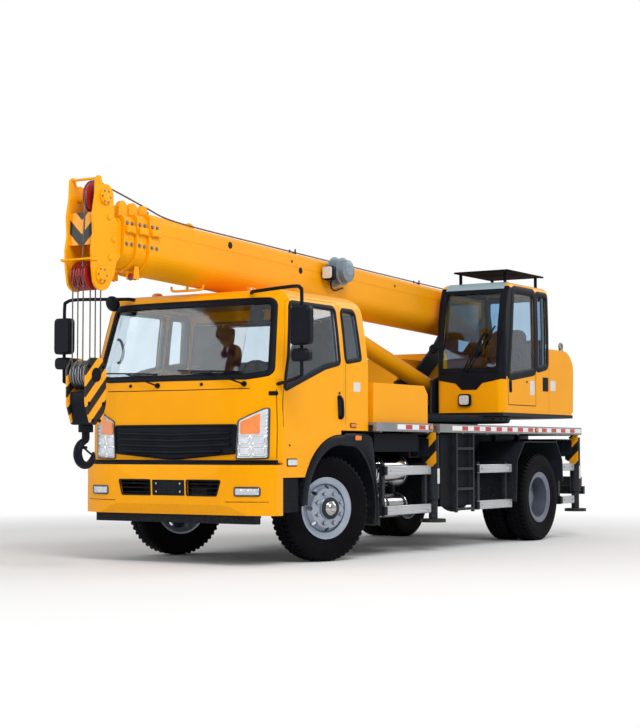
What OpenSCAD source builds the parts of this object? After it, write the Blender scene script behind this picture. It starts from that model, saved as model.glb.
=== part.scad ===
// Two-axle truck crane with a four-section telescopic boom, parked for the road with its front wheels turned.
// Millimetres. X forward, Y left, Z up. Lengths are set out from the front axle on the ground, and at_origin()
// then puts the origin on the ground at the middle of the overall length.

/* [Chassis] */
// Front axle to rear axle
wheelbase = 4500; // [4300:10:4900]
// Rear axle to the back of the tail bar
rear_overhang = 1400; // [1360:5:1500]
// Width over the deck
deck_w = 2400; // [2360:5:2500]
// Top of the deck above the ground
deck_z = 1356; // [1340:1:1400]
// Width over the frame rails
frame_w = 840; // [780:5:850]
// Top of the frame rails above the ground
rail_z = 940; // [900:2:950]
// Height of the frame rails
rail_h = 250; // [200:5:280]

/* [Wheels] */
// Outside diameter of a tyre
tyre_d = 1030; // [1000:2:1040]
// Width of a tyre
tyre_w = 256; // [230:2:264]
// Diameter of the rim's bead seat
rim_d = 508; // [490:1:520]
// Front wheel centre to front wheel centre, wheels straight
front_track = 1840; // [1800:5:1880]
// Middle of the left twin wheels to the middle of the right ones
rear_track = 1800; // [1760:5:1820]
// Middle of a twin's inner tyre to the middle of its outer tyre
dual_pitch = 304; // [296:1:320]
// How far the parked front wheels are turned to the right
steer_rest = 21; // [0:0.5:30]

/* [Truck cab] */
// Width of the cab
cab_w = 2240; // [2200:5:2280]
// Front axle to the cab's back wall
cab_back = 530; // [500:5:560]
// Front axle to the middle of the cab's front panel
cab_front_x = 1205; // [1180:5:1240]
// Top of the cab's roof
cab_top = 2592; // [2560:2:2600]
// Thickness of the cab's walls and doors
cab_wall = 50; // [40:1:60]
// Lean of the windscreen
screen_lean = 17.5; // [14:0.5:20]

/* [Superstructure] */
// Slewing centre ahead of the rear axle
slew_ahead = 700; // [660:5:740]
// Outside radius of the slewing ring
ring_r = 620; // [560:5:660]
// Radius of the superstructure's tail about the slewing centre
tail_r = 2040; // [2000:5:2045]
// Width over the superstructure
upper_w = 2400; // [2340:5:2420]
// Length of the operator's cab
op_len = 1270; // [1200:5:1320]
// Top of the operator's cab
op_top = 3036; // [2960:2:3080]

/* [Boom] */
// Lift of the parked boom above level
boom_tilt = 2; // [1.5:0.1:3]
// Boom pivot behind the slewing centre
pivot_back = 1150; // [1100:5:1200]
// Boom pivot above the ground
pivot_z = 2620; // [2610:2:2660]
// Width of the outermost boom section
boom_w = 440; // [420:2:450]
// Depth of the outermost boom section
boom_h = 520; // [500:2:530]
// How much smaller each section is, on each side
boom_step = 26; // [24:1:28]
// Plate thickness of the boom sections
boom_t = 11; // [8:1:12]
// Boom pivot to the front of the outermost section
boom_len = 6850; // [6700:10:6900]
// Length of the boom head ahead of the innermost collar
head_len = 392; // [380:2:420]
// Luffing cylinder's rod pin ahead of the boom pivot, along the boom
rod_pin_x = 3444; // [3400:2:3500]
// Outside radius of the luffing cylinder
luff_r = 100; // [85:1:110]

/* [Hook] */
// Head sheave centre to hook block sheave centre
rope_drop = 880; // [700:10:950]
// Rope diameter
rope_d = 12; // [10:0.5:14]

/* [Outriggers] */
// Width of an outrigger beam
beam_w = 160; // [140:2:176]
// Depth of an outrigger beam
beam_h = 190; // [160:2:200]
// Jack centre from the middle of the vehicle, stowed
jack_y = 1120; // [1090:2:1130]
// Outside radius of a jack's sliding leg
jack_r = 48; // [40:1:52]
// Radius of a jack's foot
foot_r = 135; // [110:1:150]

/* [Hidden] */
$fn = 64;
yellow = [0.98, 0.65, 0.11];
dark = [0.17, 0.20, 0.25];
black = [0.06, 0.06, 0.07];
steel = [0.62, 0.65, 0.68];
glass = [0.35, 0.45, 0.5, 0.6];
red = [0.5, 0.09, 0.08];

rx = -wheelbase;
tail_x = rx - rear_overhang;
hub_z = tyre_d / 2;
fw = frame_w / 2;
rail_z0 = rail_z - rail_h;
hd = deck_w / 2;
hc = cab_w / 2;
sub_x = -1500;
sub_top = deck_z - 26;
// Running gap at slides and pins
fit = 0.5;

// Wheels
king_y = front_track / 2 - 130;
rim_r = rim_d / 2;
flange_r = rim_r + 46;
rim_h = tyre_w / 2 - 20;

// Truck cab
sill_z = 1740;
cab_low = 1268;
nose_low = 960;
bow = 190;
door_x = cab_front_x - bow - 5;
arch_r = tyre_d / 2 + 193;

// Outriggers
front_box = -1790;
rear_box = tail_x + 340;
beam_dx = beam_w / 2 + 25;
beam_z0 = 1010;
sleeve_r = jack_r + 17;

// Superstructure
slew_x = rx + slew_ahead;
ring_z = deck_z + 64;
floor_z = ring_z + 90;
pivot_x = slew_x - pivot_back;
hu = upper_w / 2;
op_x = slew_x + 360;
op_y = 330;
op_wall = 40;

// Boom, in its own frame: origin on the pivot, X along the boom
axis_z = 85;
cheek_y = boom_w / 2 + 12;
collar = 144;
rod_pin_z = axis_z - boom_h / 2 - 80;
luff_x = slew_x - 100;
luff_z = 1830;
head_x = boom_len + 2 * (collar + 6) + 6;
sheave_x = head_x + 262;
sheave_z = -260;
sheave_r = 130;
groove_r = sheave_r - 18;
rope_r = groove_r + rope_d / 2 + 0.4;
top_sheave_r = 158;
hook_half = 140;

// Overall length and the place of the origin
fall_x = pivot_x + sheave_x * cos(boom_tilt) - sheave_z * sin(boom_tilt);
nose_x = fall_x + hook_half;
shift_x = -(nose_x + tail_x) / 2;

// Points on an arc, in degrees
function arc(cx, cy, r, a0, a1, n) =
    [for (i = [0:n]) let (a = a0 + (a1 - a0) * i / n) [cx + r * cos(a), cy + r * sin(a)]];

// Rectangle with rounded corners
function rounded(x0, x1, y0, y1, r) = concat(arc(x0 + r, y0 + r, r, 180, 270, 5),
    arc(x1 - r, y0 + r, r, 270, 360, 5), arc(x1 - r, y1 - r, r, 0, 90, 5), arc(x0 + r, y1 - r, r, 90,
        180, 5));

// Unit normal pointing left of the way from a to b
function left(a, b) = [a[1] - b[1], b[0] - a[0]] / norm(b - a);

// A counter-clockwise outline moved inward by d, each corner mitred
function inset(p, d) = let (n = len(p)) [for (i = [0:n - 1])
    let (u = left(p[(i + n - 1) % n], p[i]), v = left(p[i],
        p[(i + 1) % n])) p[i] + (u + v) * d / (1 + u * v)];

// Upright U section of a boom: flat top, straight sides, rounded bottom
function boom_outline(w, h) = concat(
    [for (p = arc(0, 0, 1, 180, 360, 20)) [p[0] * w / 2, -h / 2 + 0.44 * w + p[1] * 0.44 * w]],
    [[w / 2, h / 2 - 36], [w / 2 - 36, h / 2], [-w / 2 + 36, h / 2], [-w / 2, h / 2 - 36]]);

module at_origin() translate([shift_x, 0, 0]) children();

module box(x0, x1, y0, y1, z0, z1) translate([x0, y0, z0]) cube([x1 - x0, y1 - y0, z1 - z0]);

// Outline in X and Z carried across from y0 to y1
module across(y0, y1) translate([0, y1, 0]) rotate([90, 0, 0]) linear_extrude(y1 - y0) children();

// Outline in Y and Z carried along from x0 to x1
module along(x0, x1) translate([x0, 0, 0]) rotate([90, 0, 90]) linear_extrude(x1 - x0) children();

module both() {
    children();
    mirror([0, 1, 0]) children();
}

// Side 1 is the left as drawn, side -1 its mirror image on the right
module flip(side) {
    if (side > 0) children();
    else mirror([0, 1, 0]) children();
}

// Round bar across the vehicle
module pin(x, z, r, y0, y1) translate([x, y0, z]) rotate([-90, 0, 0]) cylinder(r = r, h = y1 - y0);

// Round bar from a to b
module bar(a, b, r) {
    v = b - a;
    translate(a) rotate([0, acos(v[2] / norm(v)), atan2(v[1], v[0])]) cylinder(r = r, h = norm(v));
}

module in_boom() translate([pivot_x, 0, pivot_z]) rotate([0, -boom_tilt, 0]) children();

// Frame rails, torsion box, outrigger boxes and slewing ring
module outrigger_box(cx) difference() {
    box(cx - 2 * beam_dx - 10, cx + 2 * beam_dx + 10, -hd + 195, hd - 195, beam_z0 - 14,
        beam_z0 + beam_h + 14);
    for (s = [-1, 1]) box(cx + s * beam_dx - beam_w / 2 - fit, cx + s * beam_dx + beam_w / 2 + fit,
        -hd, hd, beam_z0 - fit, beam_z0 + beam_h + fit);
}

module beam_slots(cx) for (s = [-1, 1]) box(cx + s * beam_dx - beam_w / 2 - fit,
    cx + s * beam_dx + beam_w / 2 + fit, -hd, hd, beam_z0 - fit, beam_z0 + beam_h + fit);

module chassis_frame() color(dark) {
    both() difference() {
        box(tail_x + 60, cab_front_x - 285, fw - 75, fw, rail_z0, rail_z);
        box(tail_x + 50, cab_front_x, fw - 76, fw - 9, rail_z0 + 9, rail_z - 9);
    }
    for (x = [cab_front_x - 345, -1250, -2600, rx + 720, rx - 650, tail_x + 130])
        box(x - 50, x + 50, -fw + 5, fw - 5, rail_z0 + 40, rail_z - 40);
    both() box(cab_front_x - 385, cab_front_x - 305, fw - 70, fw, rail_z - 1, nose_low);
    both() box(-cab_back + 50, -cab_back + 130, fw - 70, fw, rail_z - 1, cab_low);
    difference() {
        box(tail_x + 110, sub_x, -fw, fw, rail_z, sub_top);
        box(tail_x + 100, sub_x + 10, -fw + 14, fw - 14, rail_z + 14, sub_top - 14);
        beam_slots(front_box);
        beam_slots(rear_box);
        translate([slew_x, 0, sub_top - 60]) cylinder(r = ring_r - 150, h = 100);
    }
    outrigger_box(front_box);
    outrigger_box(rear_box);
    difference() {
        translate([slew_x, 0, sub_top - 70]) cylinder(r = ring_r, h = ring_z - sub_top + 70);
        translate([slew_x, 0, sub_top - 80]) cylinder(r = ring_r - 150, h = ring_z - sub_top + 100);
    }
}

// Leaf spring packs, axle beams and the rear axle's housing
module spring(cx, y, thick, half) across(y - 35, y + 35) polygon(concat(
    [[cx - half, rail_z0 - 22], [cx - half, rail_z0]],
    [[cx - half + 60, rail_z0], [cx - half + 90, rail_z0 - 20]],
    [[cx - 120, hub_z + 20 + thick], [cx + 120, hub_z + 20 + thick]],
    [[cx + half - 90, rail_z0 - 20], [cx + half - 60, rail_z0], [cx + half, rail_z0],
        [cx + half, rail_z0 - 22]],
    [[cx + half - 80, rail_z0 - 45], [cx + 130, hub_z + 20], [cx - 130, hub_z + 20],
        [cx - half + 80, rail_z0 - 45]]));

module axles() color(dark) {
    difference() {
        union() {
            both() box(-55, 55, 0, king_y, hub_z - 60, hub_z - 10);
            both() box(-60, 60, fw - 90, fw - 10, hub_z - 60, hub_z + 30);
            both() translate([0, king_y, hub_z - 60]) cylinder(r = 52, h = 120);
        }
        both() translate([0, king_y, 0]) cylinder(r = 25.1, h = tyre_d);
    }
    both() spring(0, fw - 50, 45, 720);
    pin(rx, hub_z, 88, -rear_track / 2 + 190, rear_track / 2 - 190);
    translate([rx, 0, hub_z]) sphere(r = 200);
    both() box(rx - 60, rx + 60, fw - 90, fw - 10, hub_z - 95, hub_z + 30);
    both() pin(rx, hub_z, 38, rear_track / 2 - 190, rear_track / 2 + 60);
    both() spring(rx, fw - 50, 70, 700);
}

// Engine on its mounts, gearbox and propeller shaft
module driveline() color(steel) {
    box(-480, 520, -300, 300, rail_z0 - 60, rail_z + 210);
    both() box(0, 80, 290, fw - 9, rail_z0 + 30, rail_z0 + 90);
    box(-1100, -480, -210, 210, rail_z0 - 90, rail_z - 60);
    bar([-1100, 0, rail_z0 - 20], [rx + 206, 0, hub_z + 40], 45);
    box(519, 760, -330, 330, rail_z0 + 20, rail_z + 12);
}

// Air reservoirs on the left, fuel tank on the right, all on brackets from the rail
fuel_x = front_box + beam_dx + sleeve_r + 30;
module side_tanks() color(steel) {
    translate([-862, 860, 868]) rotate([0, -90, 0]) cylinder(r = 172, h = -862 - (front_box + 2 * beam_dx + 22));
    translate([-960, 915, 506]) rotate([0, -90, 0]) cylinder(r = 128, h = 570);
    for (x = [-1000, -1500]) box(x - 25, x + 25, fw, 740, 840, 890);
    for (x = [-1060, -1420]) box(x - 25, x + 25, 870, 910, 560, 740);
    across(-hd + 130, -fw - 130) polygon(rounded(fuel_x, -810, 410, 880, 60));
    for (x = [-1000, -1400]) box(x - 25, x + 25, -fw - 140, -fw, 720, 790);
}

// Guard posts and hangers, ladders, fender stays and tail bar. A guard ends short of its side's jack, which sits
// further back on the left (side 1) than on the right (side -1)
function jack_x(cx, side) = cx - side * beam_dx;
function guard_end(cx, side) = jack_x(cx, side) + sleeve_r + 45;
ladder_x = -2730;

module guard_post(x) {
    box(x - 25, x + 25, fw, hd - 75, rail_z - 45, rail_z);
    box(x - 25, x + 25, hd - 115, hd - 75, 410, rail_z);
}

module ladder() {
    for (x = [ladder_x, ladder_x + 400]) box(x, x + 30, hd - 40, hd - 10, 400, deck_z - 89);
    for (z = [420, 640, 860, 1080]) box(ladder_x + 29, ladder_x + 401, hd - 40, hd - 10, z, z + 28);
}

module side_frames() color(dark) {
    for (side = [1, -1]) flip(side) {
        for (x = [-830, guard_end(front_box, side) + 60, -2960, -3660, rx - 660]) guard_post(x);
        ladder();
        for (x = [rx - 300, rx + 340]) box(x - 20, x + 20, 700, 760, 1180, sub_top);
        box(-690, -640, fw, 680, 700, 745);
        box(640, 690, fw, 680, 690, 740);
        box(tail_x, tail_x + 60, fw - 75, fw, 520, rail_z);
    }
    box(tail_x, tail_x + 50, -1150, 1150, 520, 620);
}

module guard_rail(x0, x1) {
    box(x0, x1, hd - 75, hd - 45, 820, 915);
    box(x0, x1, hd - 75, hd - 45, 415, 510);
}

module guard_bars() color(steel) for (side = [1, -1]) flip(side) {
    guard_rail(guard_end(front_box, side), -800);
    guard_rail(-3760, -2870);
    guard_rail(guard_end(rear_box, side), rx - 640);
}

module rear_fenders() color(dark) both() across(600, hd - 6) {
    p = [[rx + 712, 480], [rx + 676, 960], [rx + 470, 1180], [rx - 440, 1180], [rx - 610, 960],
        [rx - 630, 700]];
    polygon(concat(p, [[rx - 618, 700], [rx - 598, 956], [rx - 434, 1168], [rx + 464, 1168], [rx + 664, 955],
        [rx + 700, 480]]));
}

// Lockers under the deck, against the rails, and the steps under the cab doors on their brackets
module locker(x0, x1, y1, z0) difference() {
    box(x0, x1, fw, y1, z0, deck_z - 116);
    box(x0 + 20, x1 - 20, fw + 20, y1 - 20, z0 - 1, deck_z - 136);
}

module lockers() color(dark) both() {
    locker(-2770, -2020, hd - 60, 470);
    locker(-1560, -640, hd - 75, rail_z + 120);
    box(745, door_x - 10, 880, hc - 6, 500, nose_low - 148);
    box(800, 860, fw, 881, 700, 760);
}

// Deck plates with their edge channels and ribs
module deck() color(steel) {
    both() {
        box(-1750, -cab_back - 30, hd - 40, hd, deck_z - 89, deck_z);
        box(tail_x + 210, -1900, hd - 40, hd, deck_z - 89, deck_z);
        box(-740, -660, fw - 80, fw, rail_z, sub_top);
        for (x = [-1690, -1940, -2500, -3100, rx - 520, tail_x + 260])
            box(x - 20, x + 20, fw, hd - 30, deck_z - 100, sub_top);
        box(slew_x - 120, slew_x - 80, ring_r + 10, hd - 30, deck_z - 100, sub_top);
    }
    box(-720, -680, -hd + 30, hd - 30, deck_z - 100, sub_top);
    box(-1750, -cab_back - 30, -hd + 30, hd - 30, sub_top, deck_z);
    difference() {
        box(tail_x + 210, -1900, -hd + 30, hd - 30, sub_top, deck_z);
        translate([slew_x, 0, 0]) cylinder(r = ring_r + 10, h = 3000);
    }
}

module cowl_box() color(yellow) {
    p = [[-1740, deck_z], [-cab_back - 70, deck_z], [-cab_back - 70, 1755], [-1660, 1755], [-1740, 1670]];
    difference() {
        across(-hd + 60, hd - 60) polygon(p);
        across(-hd + 90, hd - 90) polygon([[-1710, deck_z - 10], [-cab_back - 100, deck_z - 10],
            [-cab_back - 100, 1725], [-1674, 1725], [-1710, 1658]]);
    }
}

// Truck cab: one outline from the side, the front and above, and a leaning one for the windscreen
cab_side = concat([[-cab_back, cab_low], [600, cab_low], [600, nose_low], [1400, nose_low],
    [1400, cab_top - 180]],
    arc(cab_front_x - 390, cab_top - 180, 180, 60, 90, 4), arc(-cab_back + 240, cab_top - 220, 220, 90,
        165, 6),
    [[-cab_back, 1900]]);
cab_face = concat([[-hc, 700], [hc, 700], [hc, 1950], [hc - 26, 2200]],
    arc(hc - 200, cab_top - 140, 140, 12, 90, 6),
    arc(-hc + 200, cab_top - 140, 140, 90, 168, 6), [[-hc + 26, 2200], [-hc, 1950]]);
function cab_plan(front, back, depth) = concat([[back, -hc]],
    [for (k = [-9:9]) let (s = sin(90 * k / 9)) [front - depth * pow(abs(s), 4.5), s * hc]], [[back, hc]]);

module cab_solid(d) intersection() {
    across(-1400, 1400) polygon(inset(cab_side, d));
    along(-900, 1500) polygon(inset(cab_face, d));
    translate([0, 0, 600]) linear_extrude(2200) polygon(inset(cab_plan(cab_front_x, -900, bow), d));
    translate([cab_front_x, 0, sill_z]) rotate([0, -screen_lean, 0]) translate([0, 0, -1400])
        linear_extrude(2800) polygon(inset(cab_plan(0, -2600, bow * cos(screen_lean)), d));
}

module cab_skin(a, b) difference() {
    cab_solid(a);
    cab_solid(b);
}

door_front = [door_x, sill_z];
door_head = [door_x - 168, 2470];
door_back = -60;
function door_outline(g) = inset([[door_back, 1150], [580, 880], [580, nose_low - 138],
    [door_x, nose_low - 138],
    door_front, door_head, [door_head[0] - 55, 2512], [door_back + 40, 2512], [door_back, 2470]], -g);
door_window = [[door_back + 84, 1930], [280, 1880], [door_x - 40, 1650], [door_x - 48, 1740],
    [door_x - 205, 2430], [door_x - 235, 2452], [door_back + 110, 2452], [door_back + 84, 2425]];
side_window = [[-385, 1985], [-130, 1950], [-110, 1970], [-110, 2420], [-135, 2445], [-320, 2445],
    [-350, 2420]];
screen_window = [[-hc + 110, sill_z + 60], [-hc + 300, sill_z + 30], [hc - 300, sill_z + 30],
    [hc - 110, sill_z + 60],
    [hc - 185, 2440], [hc - 220, 2468], [-hc + 220, 2468], [-hc + 185, 2440]];
back_window = [[-600, 1980], [600, 1980], [600, 2380], [-600, 2380]];
lamp_face = [[715, nose_low + 38], [1012, nose_low + 44], [1020, 1462], [988, 1462], [735, 1350]];
grille_face = [[-700, 1052], [-70, 1000], [70, 1000], [700, 1052], [708, 1305], [-708, 1305]];

module arch() both() pin(0, hub_z, arch_r, fw + 30, 1500);

module cab_body() color(yellow) difference() {
    cab_skin(0, cab_wall);
    arch();
    box(door_x + fit, 1500, -1400, 1400, 600, sill_z);
    across(hc - 220, 1400) polygon(door_outline(4));
    across(-1400, -hc + 220) polygon(door_outline(4));
    across(-1400, 1400) polygon(side_window);
    along(700, 1500) polygon(screen_window);
    along(-900, -cab_back + 150) polygon(back_window);
}

module cab_front() color(yellow) difference() {
    intersection() {
        cab_skin(0, cab_wall);
        box(door_x + fit, 1500, -1400, 1400, nose_low, sill_z - 0.3);
    }
    along(900, 1500) polygon(grille_face);
    both() along(900, 1500) polygon(lamp_face);
}

module cab_glass() color(glass) {
    intersection() {
        cab_skin(10, 20);
        union() {
            along(700, 1500) polygon(inset(screen_window, 0.4));
            along(-900, -cab_back + 150) polygon(inset(back_window, 0.4));
            across(hc - 300, 1400) polygon(inset(side_window, 0.4));
            across(-1400, -hc + 300) polygon(inset(side_window, 0.4));
        }
    }
}

// Doors hang on their front edges
module door_shell() color(yellow) difference() {
    union() {
        intersection() {
            cab_skin(0, cab_wall);
            across(hc - 200, 1400) polygon(door_outline(0));
        }
        box(560, door_x, hc - cab_wall, hc, nose_low - 138, nose_low + 1);
    }
    arch();
    across(hc - 300, 1400) polygon(door_window);
}

module door_pane() color(glass) intersection() {
    cab_skin(14, 20);
    across(hc - 300, 1400) polygon(inset(door_window, 0.4));
}

module door_left() door_shell();
module door_right() mirror([0, 1, 0]) door_shell();
module door_left_glass() door_pane();
module door_right_glass() mirror([0, 1, 0]) door_pane();

// Two seats, each a base, a cushion, a back and a headrest
module cab_seats() color(black) for (y = [-560, 560]) translate([0, y, cab_low + cab_wall]) {
    box(-300, 180, -180, 180, 0, 170);
    box(-330, 230, -250, 250, 170, 300);
    translate([-330, 0, 300]) rotate([0, -10, 0]) box(-10, 120, -240, 240, -20, 560);
    translate([-330, 0, 300]) rotate([0, -10, 0]) box(10, 100, -130, 130, 550, 740);
}

// Dashboard, steering column and wheel
module cab_dash() color(black) {
    difference() {
        across(-hc + 260, hc - 260) polygon([[door_x - 160, nose_low + cab_wall],
            [1085, nose_low + cab_wall], [1085, 1640], [1035, 1715],
            [door_x - 130, 1690], [door_x - 190, 1560]]);
        across(-hc + 300, hc - 300) polygon([[door_x - 120, nose_low], [1060, nose_low], [1060, 1630],
            [1025, 1680], [door_x - 110, 1660], [door_x - 150, 1560]]);
    }
    bar([door_x - 140, 560, 1560], [560, 560, 1720], 32);
    translate([565, 560, 1718]) rotate([0, -70, 0]) {
        rotate_extrude() translate([220, 0]) circle(r = 16);
        for (a = [0, 120, 240]) rotate([0, 0, a]) box(0, 215, -18, 18, -8, 8);
    }
}

// Bumper shell with two air slots, a blank plate's place and fog lamp holes
bumper_x = cab_front_x + 78;
bumper_side = [[door_x, 475], [bumper_x - 55, 475], [bumper_x - 12, 570], [bumper_x, 800],
    [bumper_x - 14, 940], [door_x, 940]];
air_slot = [[215, 650], [560, 650], [600, 798], [215, 798]];
fog_face = [[760, 655], [985, 655], [985, 735], [745, 735]];
plate_face = [[-190, 650], [190, 650], [190, 798], [-190, 798]];

module bumper_solid(d) intersection() {
    across(-1400, 1400) polygon(inset(bumper_side, d));
    translate([0, 0, 300]) linear_extrude(900) polygon(inset(cab_plan(bumper_x, 400, 170), d));
}

module front_bumper() color(yellow) {
    difference() {
        bumper_solid(0);
        intersection() {
            bumper_solid(30);
            box(0, 2000, -2000, 2000, 505, 1000);
        }
        box(0, bumper_x - 110, -hc + 180, hc - 180, 400, 1000);
        box(0, door_x + 31, -hc + 30, hc - 30, 400, 1000);
        both() along(900, 1500) polygon(air_slot);
        both() along(900, 1500) polygon(fog_face);
        along(900, 1500) polygon(plate_face);
    }
    both() box(bumper_x - 150, bumper_x - 25, fw - 75, fw - 15, 585, 640);
}

// Grille, strip over the bumper, plate and slot backs, underrun bar with its arms
module front_trim() color(black) {
    intersection() {
        cab_skin(14, 40);
        along(900, 1500) polygon(inset(grille_face, 0.4));
    }
    intersection() {
        translate([0, 0, 940]) linear_extrude(nose_low - 940) polygon(inset(cab_plan(bumper_x, 400, 170),
            20));
        box(door_x + 30, 1500, -1400, 1400, 900, 1000);
    }
    intersection() {
        bumper_solid(5);
        along(bumper_x - 120, 1500) polygon(inset(plate_face, 0.4));
    }
    box(bumper_x - 170, bumper_x - 90, -940, 940, 395, 474.5);
    both() box(cab_front_x - 285, bumper_x - 150, fw - 75, fw - 15, 410, rail_z - 30);
}

// Head, fog and tail lamps and the roof's marker lamps
module lamps() color([0.9, 0.9, 0.88]) {
    both() intersection() {
        difference() {
            cab_solid(4);
            cab_solid(cab_wall);
        }
        along(door_x + 5, 1500) polygon(inset(lamp_face, 0.4));
    }
    both() intersection() {
        bumper_solid(4);
        along(bumper_x - 110, 1500) polygon(inset(fog_face, 0.4));
    }
    both() box(tail_x + 2, tail_x + 40, 820, 1120, 620, 740);
    both() translate([cab_front_x - 470, 560, cab_top]) cylinder(r = 55, h = 40);
}

module front_fenders() color(black) both() across(680, hc + 8) polygon(concat(
    arc(0, hub_z, arch_r - 6, 3, 196, 28), arc(0, hub_z, arch_r - 52, 196, 3, 28)));

// Mirror heads on bent tubes from the roof and the front pillars
module mirrors() color(black) both() difference() {
    union() {
        translate([cab_front_x - 415, 820, cab_top - 5]) cylinder(r = 30, h = 50);
        bar([cab_front_x - 415, 820, cab_top + 34], [cab_front_x - 60, 1410, 2560], 14);
        bar([cab_front_x - 60, 1410, 2566], [cab_front_x - 60, 1410, 1760], 14);
        bar([cab_front_x - 60, 1410, 1766], [cab_front_x - 175, 1040, 1680], 12);
        box(cab_front_x - 110, cab_front_x - 10, 1300, 1520, 2030, 2390);
        box(cab_front_x - 110, cab_front_x - 10, 1310, 1510, 1880, 1998);
    }
    cab_solid(-0.3);
}

// Steering knuckles, drawn at the parked lock
module steered() translate([0, king_y, 0]) rotate([0, 0, -steer_rest]) translate([0, -king_y, 0]) children();
module steered_right() translate([0, -king_y, 0]) rotate([0, 0, -steer_rest]) mirror([0, 1,
    0]) translate([0, -king_y, 0]) children();

module knuckle() color(dark) {
    translate([0, king_y, hub_z - 130]) cylinder(r = 25, h = 260);
    for (z = [hub_z - 125, hub_z + 67]) {
        translate([0, king_y, z]) cylinder(r = 50, h = 58);
        box(-45, 45, king_y, king_y + 90, z, z + 58);
    }
    box(-70, 70, king_y + 62, king_y + 90, hub_z - 125, hub_z + 125);
    pin(0, hub_z, 38, king_y + 80, king_y + 250);
    box(-230, -40, king_y - 30, king_y + 20, hub_z - 125, hub_z - 90);
}

module knuckle_left() steered() knuckle();
module knuckle_right() steered_right() knuckle();

// Wheels: the axle lies along Y and the outer face is towards plus Y
module tyre(y) translate([0, y, hub_z]) rotate([-90, 0, 0]) rotate_extrude() polygon([
    [rim_r + 0.4, -rim_h + 8], [flange_r + 2, -rim_h + 6], [rim_r + 96, -tyre_w / 2 + 3],
        [rim_r + 180, -tyre_w / 2],
    [tyre_d / 2, -tyre_w / 2 + 28], [tyre_d / 2, tyre_w / 2 - 28], [rim_r + 180, tyre_w / 2],
    [rim_r + 96, tyre_w / 2 - 3], [flange_r + 2, rim_h - 6], [rim_r + 0.4, rim_h - 8]]);

module rim_front() color(steel) difference() {
    translate([0, front_track / 2, hub_z]) rotate([-90, 0, 0]) {
        rotate_extrude() polygon([[flange_r, -rim_h - 4], [flange_r, -rim_h + 4], [rim_r, -rim_h + 8],
            [rim_r, rim_h - 8],
            [flange_r, rim_h - 4], [flange_r, rim_h + 4], [flange_r - 18, rim_h + 4],
                [rim_r - 16, rim_h - 14],
            [rim_r - 16, rim_h - 40], [rim_r - 60, rim_h + 24], [140, rim_h + 40], [112, rim_h + 42],
                [110, rim_h + 62],
            [70, rim_h + 76], [0, rim_h + 80], [0, -36], [130, -36], [130, rim_h + 24],
                [rim_r - 70, rim_h + 10],
            [rim_r - 16, rim_h - 70], [rim_r - 16, -rim_h + 14], [flange_r - 18, -rim_h - 4]]);
        for (a = [22.5:45:360]) rotate([0, 0, a]) translate([150, 0, rim_h + 20]) cylinder(r = 16, h = 42);
    }
    pin(0, hub_z, 38.1, king_y, king_y + 256);
    for (a = [0:45:315]) translate([0, 0, hub_z]) rotate([0, a, 0]) pin(205, 0, 20,
        front_track / 2 + rim_h - 60, front_track / 2 + 300);
}

module rim_rear() color(steel) difference() {
    union() {
        for (s = [-1, 1]) translate([0, rear_track / 2 + s * dual_pitch / 2, hub_z]) rotate([-90 * s, 0, 0])
            rotate_extrude() polygon([[flange_r, -rim_h - 4], [flange_r, -rim_h + 4],
                [rim_r, -rim_h + 8], [rim_r, rim_h - 8],
                [flange_r, rim_h - 4], [flange_r, rim_h + 4], [flange_r - 18, rim_h + 4],
                    [rim_r - 16, rim_h - 14],
                [rim_r - 16, -rim_h + 24], [170, -dual_pitch / 2 + 14], [100, -dual_pitch / 2 + 14],
                [100, -dual_pitch / 2 - 2], [174, -dual_pitch / 2 - 2], [rim_r - 16, -rim_h + 2],
                    [flange_r - 18, -rim_h - 4]]);
        pin(0, hub_z, 112, rear_track / 2 - 180, rear_track / 2 + 110);
        pin(0, hub_z, 70, rear_track / 2 - 180, rear_track / 2 + 150);
        for (a = [0:36:324]) translate([0, 0, hub_z]) rotate([0, a, 0]) pin(143, 0, 15, rear_track / 2,
            rear_track / 2 + 50);
    }
    pin(0, hub_z, 38.1, 0, rear_track / 2 + 62);
}

module tyre_front_left() color(black) steered() tyre(front_track / 2);
module tyre_front_right() color(black) steered_right() tyre(front_track / 2);
module rim_front_left() steered() rim_front();
module rim_front_right() steered_right() rim_front();
module tyre_rear() color(black) for (s = [-1, 1]) translate([rx, 0,
    0]) tyre(rear_track / 2 + s * dual_pitch / 2);
module tyre_rear_left() tyre_rear();
module tyre_rear_right() mirror([0, 1, 0]) tyre_rear();
module rim_rear_left() translate([rx, 0, 0]) rim_rear();
module rim_rear_right() mirror([0, 1, 0]) translate([rx, 0, 0]) rim_rear();

// Outrigger beam with its jack sleeve, drawn for the left
module beam(x) color(dark) difference() {
    union() {
        difference() {
            box(x - beam_w / 2, x + beam_w / 2, -hd + 230, jack_y - 10, beam_z0, beam_z0 + beam_h);
            box(x - beam_w / 2 + 10, x + beam_w / 2 - 10, -hd + 220, jack_y - sleeve_r - 20,
                beam_z0 + 10, beam_z0 + beam_h - 10);
        }
        translate([x, jack_y, 560]) cylinder(r = sleeve_r, h = deck_z - 120 - 560);
    }
    translate([x, jack_y, 500]) cylinder(r = jack_r + 0.1, h = deck_z - 140 - 500);
}

module jack(x) color(dark) {
    translate([x, jack_y, 340]) cylinder(r = jack_r, h = deck_z - 220 - 340);
    translate([x, jack_y, 310]) cylinder(r = foot_r, h = 36);
}

module beam_front_left() beam(front_box - beam_dx);
module beam_front_right() mirror([0, 1, 0]) beam(front_box + beam_dx);
module beam_rear_left() beam(rear_box - beam_dx);
module beam_rear_right() mirror([0, 1, 0]) beam(rear_box + beam_dx);
module jack_front_left() jack(front_box - beam_dx);
module jack_front_right() mirror([0, 1, 0]) jack(front_box + beam_dx);
module jack_rear_left() jack(rear_box - beam_dx);
module jack_rear_right() mirror([0, 1, 0]) jack(rear_box + beam_dx);

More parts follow.
